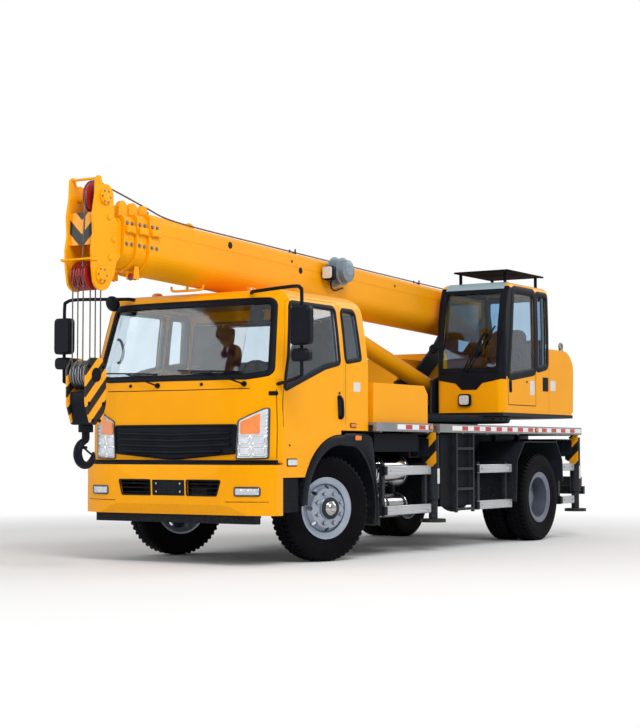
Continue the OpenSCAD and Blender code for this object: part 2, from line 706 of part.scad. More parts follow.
// Slewing platform: floor, two cheeks, luffing pin and boom pivot pin
module turntable() color(dark) {
    translate([slew_x, 0, ring_z + fit]) cylinder(r = ring_r - 20, h = 50);
    translate([slew_x, 0, ring_z - 40]) cylinder(r = ring_r - 150.4, h = 90);
    intersection() {
        box(slew_x - tail_r, op_x - 20, -hu + 10, hu - 10, ring_z + 50, floor_z);
        translate([slew_x, 0, 0]) cylinder(r = tail_r - 10, h = 3000);
    }
    difference() {
        both() across(cheek_y, cheek_y + 30) polygon([[op_x - 20, floor_z - 1], [op_x - 40, 1900],
            [luff_x - 60, 2030],
            [luff_x - 560, 2380], [pivot_x + 180, pivot_z + 60], [pivot_x + 100, pivot_z + 130],
                [pivot_x - 100, pivot_z + 130],
            [pivot_x - 150, pivot_z - 60], [pivot_x - 120, floor_z - 1]]);
        both() across(0, 900) polygon([[luff_x - 250, floor_z + 120], [luff_x - 280, 1900],
            [luff_x - 700, 2200], [luff_x - 900, 2200], [luff_x - 900, floor_z + 120]]);
    }
    pin(pivot_x, pivot_z, 60, -cheek_y - 36, cheek_y + 36);
    pin(luff_x, luff_z, 45, -cheek_y - 20, cheek_y + 20);
    box(luff_x - 460, luff_x - 400, -cheek_y - 1, cheek_y + 1, floor_z - 1, 1900);
}

// Tail housings, counterweight and the tank box on the right
tail_top = 2300;
tail_wall = 30;
weight_x = slew_x - tail_r + 420;
tail_front = op_x - op_len - 12;
well_y = cheek_y + 46;
module tail_housing() color(yellow) {
    difference() {
        intersection() {
            translate([slew_x, 0, 0]) rotate_extrude() polygon(concat([[0, floor_z], [tail_r - 60, floor_z],
                [tail_r - 16, floor_z + 40]], arc(tail_r - 250, tail_top - 250, 250, 0, 90, 6), [[0,
                    tail_top]]));
            box(slew_x - tail_r - 10, tail_front, -hu, hu, floor_z - 10, tail_top + 10);
        }
        box(slew_x - tail_r - 20, 0, -well_y, well_y, 1960, 3000);
        box(pivot_x - 160, 0, -well_y, well_y, floor_z - 1, 3000);
        both() box(weight_x, tail_front - tail_wall, well_y + tail_wall, hu - tail_wall, floor_z - 1,
            tail_top - tail_wall);
    }
    difference() {
        box(tail_front + 17, op_x - 160, -hu, -cheek_y - 60, floor_z, tail_top - 120);
        box(tail_front + 47, op_x - 190, -hu + 30, -cheek_y - 90, floor_z - 1, tail_top - 150);
    }
}

// Hoist drum between its two side frames
module winch() color(dark) {
    wx = pivot_x - 330;
    pin(wx, 2130, 110, -190, 190);
    both() pin(wx, 2130, 165, 180, 205);
    both() box(wx - 90, wx + 90, 205, cheek_y + 40, 1960, 2190);
}

// Operator's cab
op_side = concat([[op_x - op_len, floor_z], [op_x - 4, floor_z], [op_x, 1910], [op_x - 14, 2150],
    [op_x - 50, op_top - 556], [op_x - 120, op_top - 216]],
    arc(op_x - 290, op_top - 130, 130, 25, 90, 4), arc(op_x - op_len + 90, op_top - 90, 90, 90, 180, 4));
op_plan = concat([[op_x - op_len - 100, op_y]],
    arc(op_x - 90, op_y + 90, 90, -90, 0, 4), arc(op_x - 90, hu - 90, 90, 0, 90, 4),
    [[op_x - op_len - 100, hu]]);
op_face = concat([[op_y, 1000], [hu, 1000], [hu, op_top - 536]],
    arc(hu - 80, op_top - 70, 70, 8, 90, 4), arc(op_y + 50, op_top - 50, 50, 90, 180, 4));

module op_solid(d) intersection() {
    across(0, 2000) polygon(inset(op_side, d));
    translate([0, 0, 1000]) linear_extrude(3000) polygon(inset(op_plan, d));
    along(op_x - op_len - 200, op_x + 100) polygon(inset(op_face, d));
}

module op_skin(a, b) difference() {
    op_solid(a);
    op_solid(b);
}

op_hinge_x = op_x - 900;
function op_door_outline(g) = inset([[op_hinge_x, floor_z + 90], [op_x - 150, floor_z + 90],
    [op_x - 130, 1950], [op_x - 285, op_top - 71], [op_hinge_x, op_top - 71]], -g);
op_door_window = [[op_hinge_x + 45, 2035], [op_x - 178, 1950], [op_x - 318, op_top - 111],
    [op_hinge_x + 45, op_top - 111]];
op_front_window = [[op_y + 45, 1930], [765, 1810], [hu - 45, 1930], [hu - 45, op_top - 110],
    [op_y + 45, op_top - 110]];
op_side_window = [[op_x - op_len + 60, 2100], [op_hinge_x - 50, 2055], [op_hinge_x - 50, op_top - 111],
    [op_x - op_len + 60, op_top - 111]];
op_inner_window = [[op_x - op_len + 80, op_top - 786], [op_x - 120, op_top - 786], [op_x - 260, op_top - 136],
    [op_x - op_len + 80, op_top - 136]];
op_back_window = [[op_y + 80, op_top - 636], [hu - 80, op_top - 636], [hu - 80, op_top - 136],
    [op_y + 80, op_top - 136]];

module op_cab_body() color(yellow) difference() {
    op_skin(0, op_wall);
    across(hu - 60, 2000) polygon(op_door_outline(4));
    across(hu - 60, 2000) polygon(op_side_window);
    across(0, op_y + 60) polygon(op_inner_window);
    along(op_x - 200, op_x + 100) polygon(op_front_window);
    along(op_x - op_len - 100, op_x - op_len + 60) polygon(op_back_window);
}

module op_cab_glass() color(glass) intersection() {
    op_skin(10, 18);
    union() {
        across(hu - 60, 2000) polygon(inset(op_side_window, 0.4));
        across(0, op_y + 60) polygon(inset(op_inner_window, 0.4));
        along(op_x - 200, op_x + 100) polygon(inset(op_front_window, 0.4));
        along(op_x - op_len - 100, op_x - op_len + 60) polygon(inset(op_back_window, 0.4));
    }
}

module op_door() color(yellow) difference() {
    union() {
        intersection() {
            op_skin(0, op_wall);
            across(hu - 60, 2000) polygon(op_door_outline(0));
        }
        for (z = [1700, 2300]) box(op_hinge_x - 4 + fit, op_hinge_x + 1, hu - 20, hu, z, z + 80);
    }
    across(hu - 80, 2000) polygon(op_door_window);
}

module op_door_glass() color(glass) intersection() {
    op_skin(12, 18);
    across(hu - 60, 2000) polygon(inset(op_door_window, 0.4));
}

// Operator's seat with its two consoles
module op_seat() color(black) translate([op_x - 830, (op_y + hu) / 2, floor_z + op_wall]) {
    box(-180, 200, -170, 170, 0, 300);
    box(-210, 250, -230, 230, 300, 420);
    translate([-210, 0, 420]) rotate([0, -10, 0]) box(-10, 110, -220, 220, -20, 560);
    for (s = [-1, 1]) box(-60, 260, s * 300 - 50, s * 300 + 50, 0, 560);
}

// Falling-object guard over the operator's cab
module roof_guard() color(black) {
    box(op_x - 1180, op_x - 180, op_y + 150, hu - 20, op_top + 124, op_top + 142);
    for (x = [op_x - 1120, op_x - 280]) for (y = [op_y + 190, hu - 100]) box(x - 15, x + 15, y - 15,
        y + 15, op_top, op_top + 125);
}

// Luffing cylinder, drawn along the line between its pins
rod_pin = [pivot_x + rod_pin_x * cos(boom_tilt) - rod_pin_z * sin(boom_tilt),
    pivot_z + rod_pin_x * sin(boom_tilt) + rod_pin_z * cos(boom_tilt)];
luff_len = norm([rod_pin[0] - luff_x, rod_pin[1] - luff_z]);
luff_angle = atan2(rod_pin[1] - luff_z, rod_pin[0] - luff_x);
module in_luff() translate([luff_x, 0, luff_z]) rotate([0, -luff_angle, 0]) children();

module luff_barrel() color(yellow) in_luff() difference() {
    union() {
        pin(0, 0, 85, -110, 110);
        translate([40, 0, 0]) rotate([0, 90, 0]) cylinder(r = luff_r, h = luff_len - 240);
        translate([luff_len - 290, 0, 0]) rotate([0, 90, 0]) cylinder(r = luff_r + 12, h = 80);
    }
    pin(0, 0, 45.1, -200, 200);
    translate([140, 0, 0]) rotate([0, 90, 0]) cylinder(r = luff_r - 14, h = luff_len - 380);
    translate([140, 0, 0]) rotate([0, 90, 0]) cylinder(r = 60.1, h = luff_len);
}

module luff_rod() color(steel) in_luff() difference() {
    union() {
        translate([luff_len - 30, 0, 0]) rotate([0, -90, 0]) cylinder(r = 60, h = luff_len - 230);
        translate([200, 0, 0]) rotate([0, 90, 0]) cylinder(r = luff_r - 14.1, h = 120);
        pin(luff_len, 0, 70, -75.5, 75.5);
    }
    pin(luff_len, 0, 40, -200, 200);
}

// Boom sections, each a tube with a collar at its front and pads at its back
module tube(x0, x1, w, h) translate([0, 0, axis_z]) difference() {
    along(x0, x1) polygon(boom_outline(w, h));
    along(x0 - 1, x1 + 1) polygon(boom_outline(w - 2 * boom_t, h - 2 * boom_t));
}

module ring(x0, x1, w, h, wi, hi) translate([0, 0, axis_z]) difference() {
    along(x0, x1) polygon(boom_outline(w, h));
    along(x0 - 1, x1 + 1) polygon(boom_outline(wi, hi));
}

module collar_lug(x) both() across(70, 110) polygon(concat(arc(x + 72, axis_z + boom_h / 2 + 60, 58, 0,
    180, 8),
    [[x + 8, axis_z + boom_h / 2 - 120], [x + 136, axis_z + boom_h / 2 - 120]]));

function sec_w(n) = boom_w - 2 * n * boom_step;
function sec_h(n) = boom_h - 2 * n * boom_step;

module section_front(n, x) {
    difference() {
        union() {
            ring(x, x + collar, sec_w(n) + 46, sec_h(n) + 46, sec_w(n + 1) + 2 * fit, sec_h(n + 1) + 2 * fit);
            collar_lug(x);
        }
        translate([0, 0, axis_z]) along(x - 1, x + 200) polygon(boom_outline(sec_w(n + 1) + 2 * fit,
            sec_h(n + 1) + 2 * fit));
    }
}

module section_pads(n, x) ring(x, x + 120, sec_w(n - 1) - 2 * boom_t - 2 * fit,
    sec_h(n - 1) - 2 * boom_t - 2 * fit, sec_w(n) - 20, sec_h(n) - 20);

module boom_base() color(yellow) in_boom() difference() {
    union() {
        tube(-150, boom_len - collar + 1, boom_w, boom_h);
        section_front(0, boom_len - collar);
        both() pin(0, 0, 120, boom_w / 2 - 30, cheek_y - fit);
        both() across(76, 100) polygon([[rod_pin_x - 240, rod_pin_z + 150], [rod_pin_x - 75, rod_pin_z - 30],
            [rod_pin_x - 30, rod_pin_z - 72], [rod_pin_x + 30, rod_pin_z - 72],
                [rod_pin_x + 75, rod_pin_z - 30],
            [rod_pin_x + 240, rod_pin_z + 150]]);
    }
    pin(0, 0, 60.1, -400, 400);
    pin(rod_pin_x, rod_pin_z, 40, -400, 400);
    translate([0, 0, axis_z]) along(-200, boom_len - collar) polygon(boom_outline(boom_w - 2 * boom_t,
        boom_h - 2 * boom_t));
}

module boom_2() color(yellow) in_boom() {
    tube(360, boom_len + 7, sec_w(1), sec_h(1));
    section_pads(1, 360);
    section_front(1, boom_len + 6);
}

module boom_3() color(yellow) in_boom() {
    tube(500, boom_len + collar + 13, sec_w(2), sec_h(2));
    section_pads(2, 500);
    section_front(2, boom_len + collar + 12);
}

// Innermost section with the head's side plates, cross tubes and sheave pins
head_plate = concat([[0, axis_z - 150], [53, -123], [80, -250]],
    arc(sheave_x - head_x - 20, sheave_z - 10, 125, 200, 330, 8),
    [[head_len - 14, -200], [head_len, -45], [head_len - 22, 98], [head_len - 4, 262],
        [head_len - 32, 440], [head_len - 34, 590]],
    [[head_len - 60, 618], [head_len - 96, 618], [head_len - 118, 552]], arc(220, 455, 104, 70, 160, 5),
    [[104, 289], [54, axis_z + 160], [0, axis_z + 150]]);
top_x = head_x + 240;
module boom_4() color(yellow) in_boom() difference() {
    union() {
        tube(640, head_x + 120, sec_w(3), sec_h(3));
        section_pads(3, 640);
        ring(head_x, head_x + 40, sec_w(3) + 40, sec_h(3) + 40, sec_w(3) - 10, sec_h(3) - 10);
        translate([head_x, 0, 0]) both() across(sec_w(3) / 2 - 6, sec_w(3) / 2 + 18) polygon(head_plate);
        translate([head_x, 0, 0]) box(100, 120, -sec_w(3) / 2, sec_w(3) / 2, axis_z - 150, axis_z + 150);
        pin(sheave_x, sheave_z, 34, -sec_w(3) / 2 - 36, sec_w(3) / 2 + 36);
        pin(top_x, 440, 34, -sec_w(3) / 2 - 36, sec_w(3) / 2 + 36);
        translate([head_x, 0, 0]) box(330, 346, -sec_w(3) / 2, sec_w(3) / 2, 10, 250);
        pin(head_x + head_len - 66, 596, 12, -sec_w(3) / 2, sec_w(3) / 2);
    }
}

module sheave(x, z, r, ys, w) translate([x, 0, z]) rotate([-90, 0,
    0]) rotate_extrude() polygon(concat([[34.1, ys - w / 2], [r, ys - w / 2], [r, ys - 15],
    [r - 18, ys - 8], [r - 18, ys + 8], [r, ys + 15], [r, ys + w / 2], [34.1, ys + w / 2]]));

module head_sheaves() color(red) in_boom() {
    for (y = [-60, 0, 60]) sheave(sheave_x, sheave_z, sheave_r, y, 44);
    sheave(top_x, 440, top_sheave_r, 60, 44);
}

// Hook block hanging on its taut rope falls
fall = [pivot_x + sheave_x * cos(boom_tilt) - sheave_z * sin(boom_tilt),
    pivot_z + sheave_x * sin(boom_tilt) + sheave_z * cos(boom_tilt)];
module hook_block() color(dark) translate([fall[0], 0, fall[1]]) {
    for (x = [-rope_r, rope_r]) for (y = [-60, 0, 60]) translate([x, y, -rope_drop]) cylinder(d = rope_d,
        h = rope_drop);
    translate([0, 0, -rope_drop]) {
        pin(0, 0, 34, -128, 128);
        for (y = [-60, 0, 60]) translate([0, 0, 0]) sheave(0, 0, sheave_r, y, 44);
        both() across(96, 116) polygon([[-70, -440], [70, -440], [hook_half, -260], [hook_half, 70],
            [80, 150], [-80, 150],
            [-hook_half, 70], [-hook_half, -260]]);
        box(-70, 70, -97, 97, -440, -360);
        translate([0, 0, -590]) cylinder(r = 38, h = 200);
        translate([0, 0, -500]) cylinder(r = 62, h = 80);
        translate([0, 0, -690]) rotate([90, 0, 0]) rotate([0, 0,
            85]) rotate_extrude(angle = 270) translate([106, 0])
            circle(r = 40);
    }
}

// The sub-part that is drawn

at_origin() chassis_frame();
at_origin() axles();
at_origin() driveline();
at_origin() side_tanks();
at_origin() side_frames();
at_origin() guard_bars();
at_origin() rear_fenders();
at_origin() lockers();
at_origin() deck();
at_origin() cowl_box();
at_origin() cab_body();
at_origin() cab_front();
at_origin() cab_glass();
at_origin() cab_seats();
at_origin() cab_dash();
at_origin() front_bumper();
at_origin() front_trim();
at_origin() lamps();
at_origin() front_fenders();
at_origin() mirrors();
at_origin() door_left();
at_origin() door_left_glass();
at_origin() door_right();
at_origin() door_right_glass();
at_origin() knuckle_left();
at_origin() knuckle_right();
at_origin() tyre_front_left();
at_origin() tyre_front_right();
at_origin() rim_front_left();
at_origin() rim_front_right();
at_origin() tyre_rear_left();
at_origin() tyre_rear_right();
at_origin() rim_rear_left();
at_origin() rim_rear_right();
at_origin() beam_front_left();
at_origin() beam_front_right();
at_origin() beam_rear_left();
at_origin() beam_rear_right();
at_origin() jack_front_left();
at_origin() jack_front_right();
at_origin() jack_rear_left();
at_origin() jack_rear_right();
at_origin() turntable();
at_origin() tail_housing();
at_origin() winch();
at_origin() op_cab_body();
at_origin() op_cab_glass();
at_origin() op_seat();
at_origin() roof_guard();
at_origin() op_door();
at_origin() op_door_glass();
at_origin() luff_barrel();
at_origin() luff_rod();
at_origin() boom_base();
at_origin() boom_2();
at_origin() boom_3();
at_origin() boom_4();
at_origin() head_sheaves();
at_origin() hook_block();
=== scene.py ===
"""Looks of a two-axle truck crane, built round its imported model: yellow crane and cab on a dark blue-grey
chassis."""
import math

import bmesh
import bpy
import numpy as np
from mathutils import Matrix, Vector


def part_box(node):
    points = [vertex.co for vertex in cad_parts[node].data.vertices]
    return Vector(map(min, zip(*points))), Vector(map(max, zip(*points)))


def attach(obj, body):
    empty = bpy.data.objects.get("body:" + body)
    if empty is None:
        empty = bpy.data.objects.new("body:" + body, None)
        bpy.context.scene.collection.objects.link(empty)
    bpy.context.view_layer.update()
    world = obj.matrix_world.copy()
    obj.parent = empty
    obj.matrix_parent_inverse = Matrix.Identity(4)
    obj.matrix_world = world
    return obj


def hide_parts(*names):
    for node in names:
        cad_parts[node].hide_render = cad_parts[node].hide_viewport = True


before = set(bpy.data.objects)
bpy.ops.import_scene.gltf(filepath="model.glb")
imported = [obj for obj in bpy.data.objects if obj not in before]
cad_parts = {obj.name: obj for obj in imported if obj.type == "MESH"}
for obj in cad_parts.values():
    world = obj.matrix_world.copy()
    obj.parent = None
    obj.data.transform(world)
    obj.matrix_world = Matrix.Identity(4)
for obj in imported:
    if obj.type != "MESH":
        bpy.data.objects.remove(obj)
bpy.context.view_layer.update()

# Chassis frame: two pressed channel rails with a welded torsion box and the outrigger boxes on top.
# Mild steel, shot-blasted and sprayed dark blue-grey, so it carries road splash low down.
cab_back = -530
front_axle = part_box("cab_body")[0].x - cab_back / 1000
sides = ((1, "left"), (-1, "right"))


def from_axle(points):
    """Millimetres set out from the front axle on the ground, turned into metres and then shifted along X."""
    return np.asarray(points, float) / 1000 + np.array((front_axle, 0, 0))


def feed(tree, node, inputs):
    """Gives each input of a shader node a value, or a link from a socket."""
    for key, value in inputs.items():
        if isinstance(value, bpy.types.NodeSocket):
            tree.links.new(value, node.inputs[key])
        else:
            node.inputs[key].default_value = value


def put(tree, kind, inputs={}, **settings):
    """One shader node with its settings and inputs."""
    made = tree.nodes.new("ShaderNode" + kind)
    for key, value in settings.items():
        setattr(made, key, value)
    feed(tree, made, inputs)
    return made


def between(tree, mask, low, high):
    """Colour that goes from low to high as the mask goes from 0 to 1."""
    return put(tree, "Mix", {0: mask, 6: low, 7: high}, data_type="RGBA").outputs[2]


def ramp(tree, value, low, high, to_low=0.0, to_high=1.0):
    """Value mapped from the span low to high onto to_low to to_high, and held there outside it."""
    return put(tree, "MapRange", {0: value, 1: low, 2: high, 3: to_low, 4: to_high}).outputs[0]


def sums(tree, operation, a, b):
    """Product, sum, quotient or maximum of two values."""
    return put(tree, "Math", {0: a, 1: b}, operation=operation).outputs[0]


def noise(tree, place, scale, detail, **more):
    """Cloudy value at each place."""
    return put(tree, "TexNoise", {"Vector": place, "Scale": scale, "Detail": detail, **more}).outputs[0]


def located(tree):
    """Place of each point of the surface in the frame."""
    return put(tree, "TexCoord").outputs["Object"]


def facing_up(tree):
    """How far the surface looks up: 1 for a level face."""
    return put(tree, "SeparateXYZ", {0: put(tree, "NewGeometry").outputs["Normal"]}).outputs[2]


def weather_group():
    """Node group of outdoor wear: slow mottling, dust on faces that look up, splash that fades with height,
    scuffs and peel."""
    group = bpy.data.node_groups.new("outdoor_wear", "ShaderNodeTree")
    for name, value in (("Patch", 2.0), ("Splash top", 1.2), ("Grain", 300.0)):
        group.interface.new_socket(name, in_out="INPUT", socket_type="NodeSocketFloat").default_value = value
    for name in ("Mottle", "Dust", "Splash", "Scuff", "Peel"):
        group.interface.new_socket(name, in_out="OUTPUT", socket_type="NodeSocketFloat")
    given = group.nodes.new("NodeGroupInput").outputs
    result = group.nodes.new("NodeGroupOutput")
    place = located(group)
    slow = noise(group, place, given["Patch"], 5.0, Roughness=0.6)
    speck = noise(group, place, 38.0, 4.0, Roughness=0.7)
    height = put(group, "SeparateXYZ", {0: place}).outputs[2]
    low = ramp(group, sums(group, "DIVIDE", height, given["Splash top"]), 1.0, 0.25)
    streaks = put(group, "Mapping", {0: place, 2: (0.3, 0.5, 0.2), 3: (3.0, 90.0, 26.0)}).outputs[0]
    thin = noise(group, streaks, 1.0, 3.0, Distortion=0.6)
    feed(group, result, {
        "Mottle": slow,
        "Dust": sums(group, "MULTIPLY", ramp(group, facing_up(group), 0.55, 0.98),
                     ramp(group, slow, 0.42, 0.72)),
        "Splash": sums(group, "MULTIPLY", low, ramp(group, speck, 0.44, 0.66)),
        "Scuff": sums(group, "MULTIPLY", ramp(group, thin, 0.70, 0.76), ramp(group, slow, 0.50, 0.62)),
        "Peel": noise(group, place, given["Grain"], 2.0)})
    return group


outdoor_wear = weather_group()


def opened(made):
    """Material with its node tree and its surface shader."""
    made.use_nodes = True
    return made, made.node_tree, made.node_tree.nodes["Principled BSDF"]


def sprayed(name, colour, shade, rough, coat=0.0, metal=0.0, dust=0.12, splash=0.45, top=1.2, grain=300.0,
            peel=0.04, patch=1.6, shine=0.5, tint=(1, 1, 1), soil=(0.16, 0.14, 0.115, 1)):
    """Paint or coating: colour drifts to shade with the mottling, dust and splash lie over it and dull it,
    and peel ripples it."""
    made, tree, bsdf = opened(bpy.data.materials.new(name))
    wear = put(tree, "Group", {"Patch": patch, "Splash top": top, "Grain": grain},
               node_tree=outdoor_wear).outputs
    shown = between(tree, ramp(tree, wear["Mottle"], 0.35, 0.68), (*colour, 1), (*shade, 1))
    soiled = sums(tree, "MAXIMUM", sums(tree, "MULTIPLY", wear["Dust"], dust),
                  sums(tree, "MULTIPLY", wear["Splash"], splash))
    dulled = sums(tree, "MAXIMUM", soiled, sums(tree, "MULTIPLY", wear["Scuff"], 0.35))
    ripple = put(tree, "Bump", {"Strength": peel, "Distance": 0.001, "Height": wear["Peel"]})
    feed(tree, bsdf, {
        "Base Color": between(tree, soiled, shown, soil), "Metallic": metal, "Normal": ripple.outputs[0],
        "Roughness": ramp(tree, dulled, 0.0, 1.0, rough, min(0.95, rough + 0.45)),
        "Specular IOR Level": shine,
        "Specular Tint": (*tint, 1), "Coat Weight": coat, "Coat Roughness": 0.08})
    return made


def coat(material, *nodes):
    """Gives each CAD node this material in all of its slots."""
    for name in nodes:
        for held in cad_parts[name].material_slots:
            held.material = material


chassis_paint = sprayed("chassis_paint", (0.016, 0.020, 0.027), (0.011, 0.014, 0.019), 0.42, coat=0.02,
                        splash=0.30, top=1.0, peel=0.06, shine=0.20, tint=(0.75, 0.88, 1.0))
coat(chassis_paint, "chassis_frame", "side_frames", "rear_fenders")
locker_paint = sprayed("locker_paint", (0.0045, 0.006, 0.010), (0.003, 0.004, 0.007), 0.55, dust=0.08,
                       splash=0.12, top=1.0, peel=0.06, shine=0.08)
coat(locker_paint, "lockers")

# Axles, springs, engine and gearbox hang under the rails: forged and cast iron, greasy and dusty from the
# road. They are bolted up and never washed, so their colour is uneven and their faces are rough.
cast_iron = sprayed("cast_iron", (0.050, 0.050, 0.052), (0.090, 0.082, 0.072), 0.55, metal=0.55, dust=0.5,
                    splash=0.8, top=1.4, grain=140.0, peel=0.35, patch=6.0)
coat(cast_iron, "axles", "driveline", "knuckle_left", "knuckle_right")

# Air reservoirs on the left and the fuel tank on the right, strapped to brackets on the rail.
# Rolled shells of polished stainless sheet with pressed domed ends, seam welded, held by rubber-lined straps.
polished_sheet = sprayed("polished_sheet", (0.60, 0.60, 0.60), (0.46, 0.46, 0.46), 0.13, metal=1.0, dust=0.3,
                         splash=0.30, top=0.9, grain=500.0, peel=0.02, patch=4.0)


def skin(rings, wrapped=False):
    """Closed shell over rows of points: four-sided faces between each ring and the next, with a face over
    each end, or joined from the last ring to the first."""
    count, around = rings.shape[:2]
    row = np.arange(count if wrapped else count - 1)[:, None] * around
    turn = np.arange(around)
    a, b = row + turn, row + (turn + 1) % around
    total = count * around
    faces = np.stack([a, b, (b + around) % total, (a + around) % total], -1).reshape(-1, 4).tolist()
    if not wrapped:
        faces += [turn[::-1].tolist(), (turn + total - around).tolist()]
    return rings.reshape(-1, 3), faces


def piece(name, shells, material, body, stands_for=(), crease=35):
    """One object from closed shells: faces turned outwards, edges sharper than crease left hard, riding on
    its body."""
    points, faces, first = [], [], 0
    for verts, polygons in shells:
        points.append(verts)
        faces += [[first + k for k in polygon] for polygon in polygons]
        first += len(verts)
    mesh = bpy.data.meshes.new(name)
    mesh.from_pydata(np.concatenate(points).tolist(), [], faces)
    work = bmesh.new()
    work.from_mesh(mesh)
    bmesh.ops.recalc_face_normals(work, faces=work.faces)
    work.to_mesh(mesh)
    work.free()
    mesh.shade_smooth()
    mesh.set_sharp_from_angle(angle=math.radians(crease))
    mesh.materials.append(material)
    made = bpy.data.objects.new(name, mesh)
    bpy.context.scene.collection.objects.link(made)
    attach(made, body)
    if stands_for:
        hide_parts(*stands_for)
    return made


def softened(outline, radius, steps=4):
    """Outline with each corner turned into a short parabola that starts and ends one radius from the
    corner."""
    corner = np.asarray(outline, float)
    back, on = np.roll(corner, 1, 0) - corner, np.roll(corner, -1, 0) - corner
    la, lb = (np.linalg.norm(w, axis=1, keepdims=True) for w in (back, on))
    reach = np.minimum(radius, 0.48 * np.minimum(la, lb))
    a, b = corner + back / la * reach, corner + on / lb * reach
    t = np.linspace(0, 1, steps + 1)[None, :, None]
    curve = (1 - t) ** 2 * a[:, None] + 2 * t * (1 - t) * corner[:, None] + t ** 2 * b[:, None]
    return curve.reshape(-1, 2)


def box_outline(width, height, radius, steps=4):
    """Rectangle about its middle with softened corners."""
    w, h = width / 2, height / 2
    return softened([(-w, -h), (w, -h), (w, h), (-w, h)], radius, steps)


def drawn_in(outline, depth):
    """Counter-clockwise outline moved inward by depth, with mitred corners."""
    a, b = outline - np.roll(outline, 1, 0), np.roll(outline, -1, 0) - outline
    u, v = (np.stack([-w[:, 1], w[:, 0]], -1) / np.maximum(np.linalg.norm(w, axis=1, keepdims=True), 1e-9)
            for w in (a, b))
    return outline + (u + v) * depth / np.maximum(1 + (u * v).sum(-1, keepdims=True), 0.3)


def plate(outline, place, across, up, thick, edge=1.5, at=from_axle):
    """Flat plate: the outline laid on the plane of across and up, carried to its thickness, with its edges
    broken. Here and below, at turns millimetres of the part that is being built into metres of the frame."""
    across, up = np.asarray(across, float), np.asarray(up, float)
    small = drawn_in(outline, edge)
    levels = np.stack([small, outline, outline, small]) / 1000
    depth = np.array([0, edge, thick - edge, thick])[:, None, None] / 1000
    return skin(at(place) + levels[..., :1] * across + levels[..., 1:] * up + depth * np.cross(across, up))


def block(low, high, edge=4, at=from_axle):
    """Rectangular bar with broken edges between two corners."""
    ends = np.sort([at(low), at(high)], 0)
    size = (ends[1] - ends[0]) * 1000
    foot = (*ends.mean(0)[:2], ends[0, 2])
    return plate(box_outline(size[0], size[1], edge, 2), foot, (1, 0, 0), (0, 1, 0), size[2],
                 min(edge, 0.3 * size.min()), np.asarray)


def lathe(profile, place, axis, count=32, wrapped=False):
    """Surface of revolution: each (radius, height) of the profile becomes a circle about the axis through
    place."""
    axis = np.asarray(axis, float) / np.linalg.norm(axis)
    first = np.cross(axis, (0, 0, 1) if abs(axis[2]) < 0.9 else (1, 0, 0))
    first /= np.linalg.norm(first)
    spin = np.linspace(0, 2 * math.pi, count, endpoint=False)[:, None]
    wheel = np.cos(spin) * first + np.sin(spin) * np.cross(axis, first)
    profile = np.asarray(profile, float)
    rings = np.asarray(place, float) + profile[:, :1, None] * wheel + profile[:, 1:, None] * axis
    return skin(rings, wrapped=wrapped)


def turned(profile, place, axis, count=32, wrapped=False, at=from_axle):
    """Turned piece, its profile and its place in millimetres."""
    return lathe(np.asarray(profile, float) / 1000, at(place), axis, count, wrapped)


def reservoir(front, back, y, z, radius):
    """Air tank along X: a radius for each place along it, a quarter ellipse at each domed end and a small
    weld ridge."""
    bulge = np.linspace(0, math.pi / 2, 9)
    dome = np.stack([np.sin(bulge) * radius, (1 - np.cos(bulge)) * 55], -1)
    dome[0, 0] = 2
    length = front - back
    weld = [(radius, 70), (radius + 3, 73), (radius + 3, 79), (radius, 82)]
    profile = np.vstack([dome, weld, [(r, length - h) for r, h in weld[::-1]],
                         dome[::-1] * (1, -1) + (0, length)])
    return turned(profile, (back, y, z), (1, 0, 0), 40)


def strap(x, y, z, radius):
    """Steel band round a tank: a flat ring."""
    ring = [(radius, -22), (radius + 5, -22), (radius + 5, 22), (radius, 22)]
    return turned(ring, (x, y, z), (1, 0, 0), 40, wrapped=True)


upper_tank, lower_tank = (860, 868, 171), (915, 506, 127)
upper_straps, lower_straps, fuel_brackets = (-1000, -1500), (-1060, -1420), (-1000, -1400)
bracket_sizes = ((upper_straps, (420, 840), (740, 890)), (lower_straps, (870, 560), (910, 740)),
                 (fuel_brackets, (-560, 720), (-420, 790)))
piece("air_tanks", [reservoir(-863, -1557, *upper_tank), reservoir(-961, -1529, *lower_tank)], polished_sheet,
      "chassis", ("side_tanks",))
tank_straps = [strap(x, *upper_tank) for x in upper_straps] + [strap(x, *lower_tank) for x in lower_straps]
tank_straps += [block((x - 25, *low), (x + 25, *high)) for places, low, high in bracket_sizes for x in places]
fuel_outline = softened([(-1590, 410), (-810, 410), (-810, 880), (-1590, 880)], 60, 6)
fuel_filler = [(45, 0), (45, 20), (55, 22), (55, 50), (50, 55)]
piece("fuel_tank", [plate(fuel_outline, (0, -551, 0), (1, 0, 0), (0, 0, 1), 518, 20),
                    turned(fuel_filler, (-940, -960, 880), (0, 0, 1), 28)], polished_sheet, "chassis")
band_outline = drawn_in(fuel_outline, -4)
for y in (-680, -940):
    rings = [np.insert(line, 1, y + s, 1) for line, s in ((fuel_outline, -20), (band_outline, -20),
                                                          (band_outline, 20), (fuel_outline, 20))]
    tank_straps.append(skin(from_axle(rings), wrapped=True))
piece("tank_straps", tank_straps, chassis_paint, "chassis")

# Side guard bars: extruded aluminium sections, satin from the press, bolted to dark posts.
# Each bar is a hollow rounded oblong with two shallow grooves, and its leading end has a moulded black cap.
extruded_bar = sprayed("extruded_bar", (0.60, 0.62, 0.64), (0.52, 0.54, 0.56), 0.36, metal=0.65, dust=0.25,
                       splash=0.25, top=0.9, grain=260.0, peel=0.03, patch=3.0)
moulded_black = sprayed("moulded_black", (0.0045, 0.0055, 0.009), (0.007, 0.008, 0.012), 0.44, dust=0.12,
                        splash=0.15,
                        top=1.0, grain=520.0, peel=0.30, patch=6.0, shine=0.13, tint=(0.7, 0.85, 1.0))


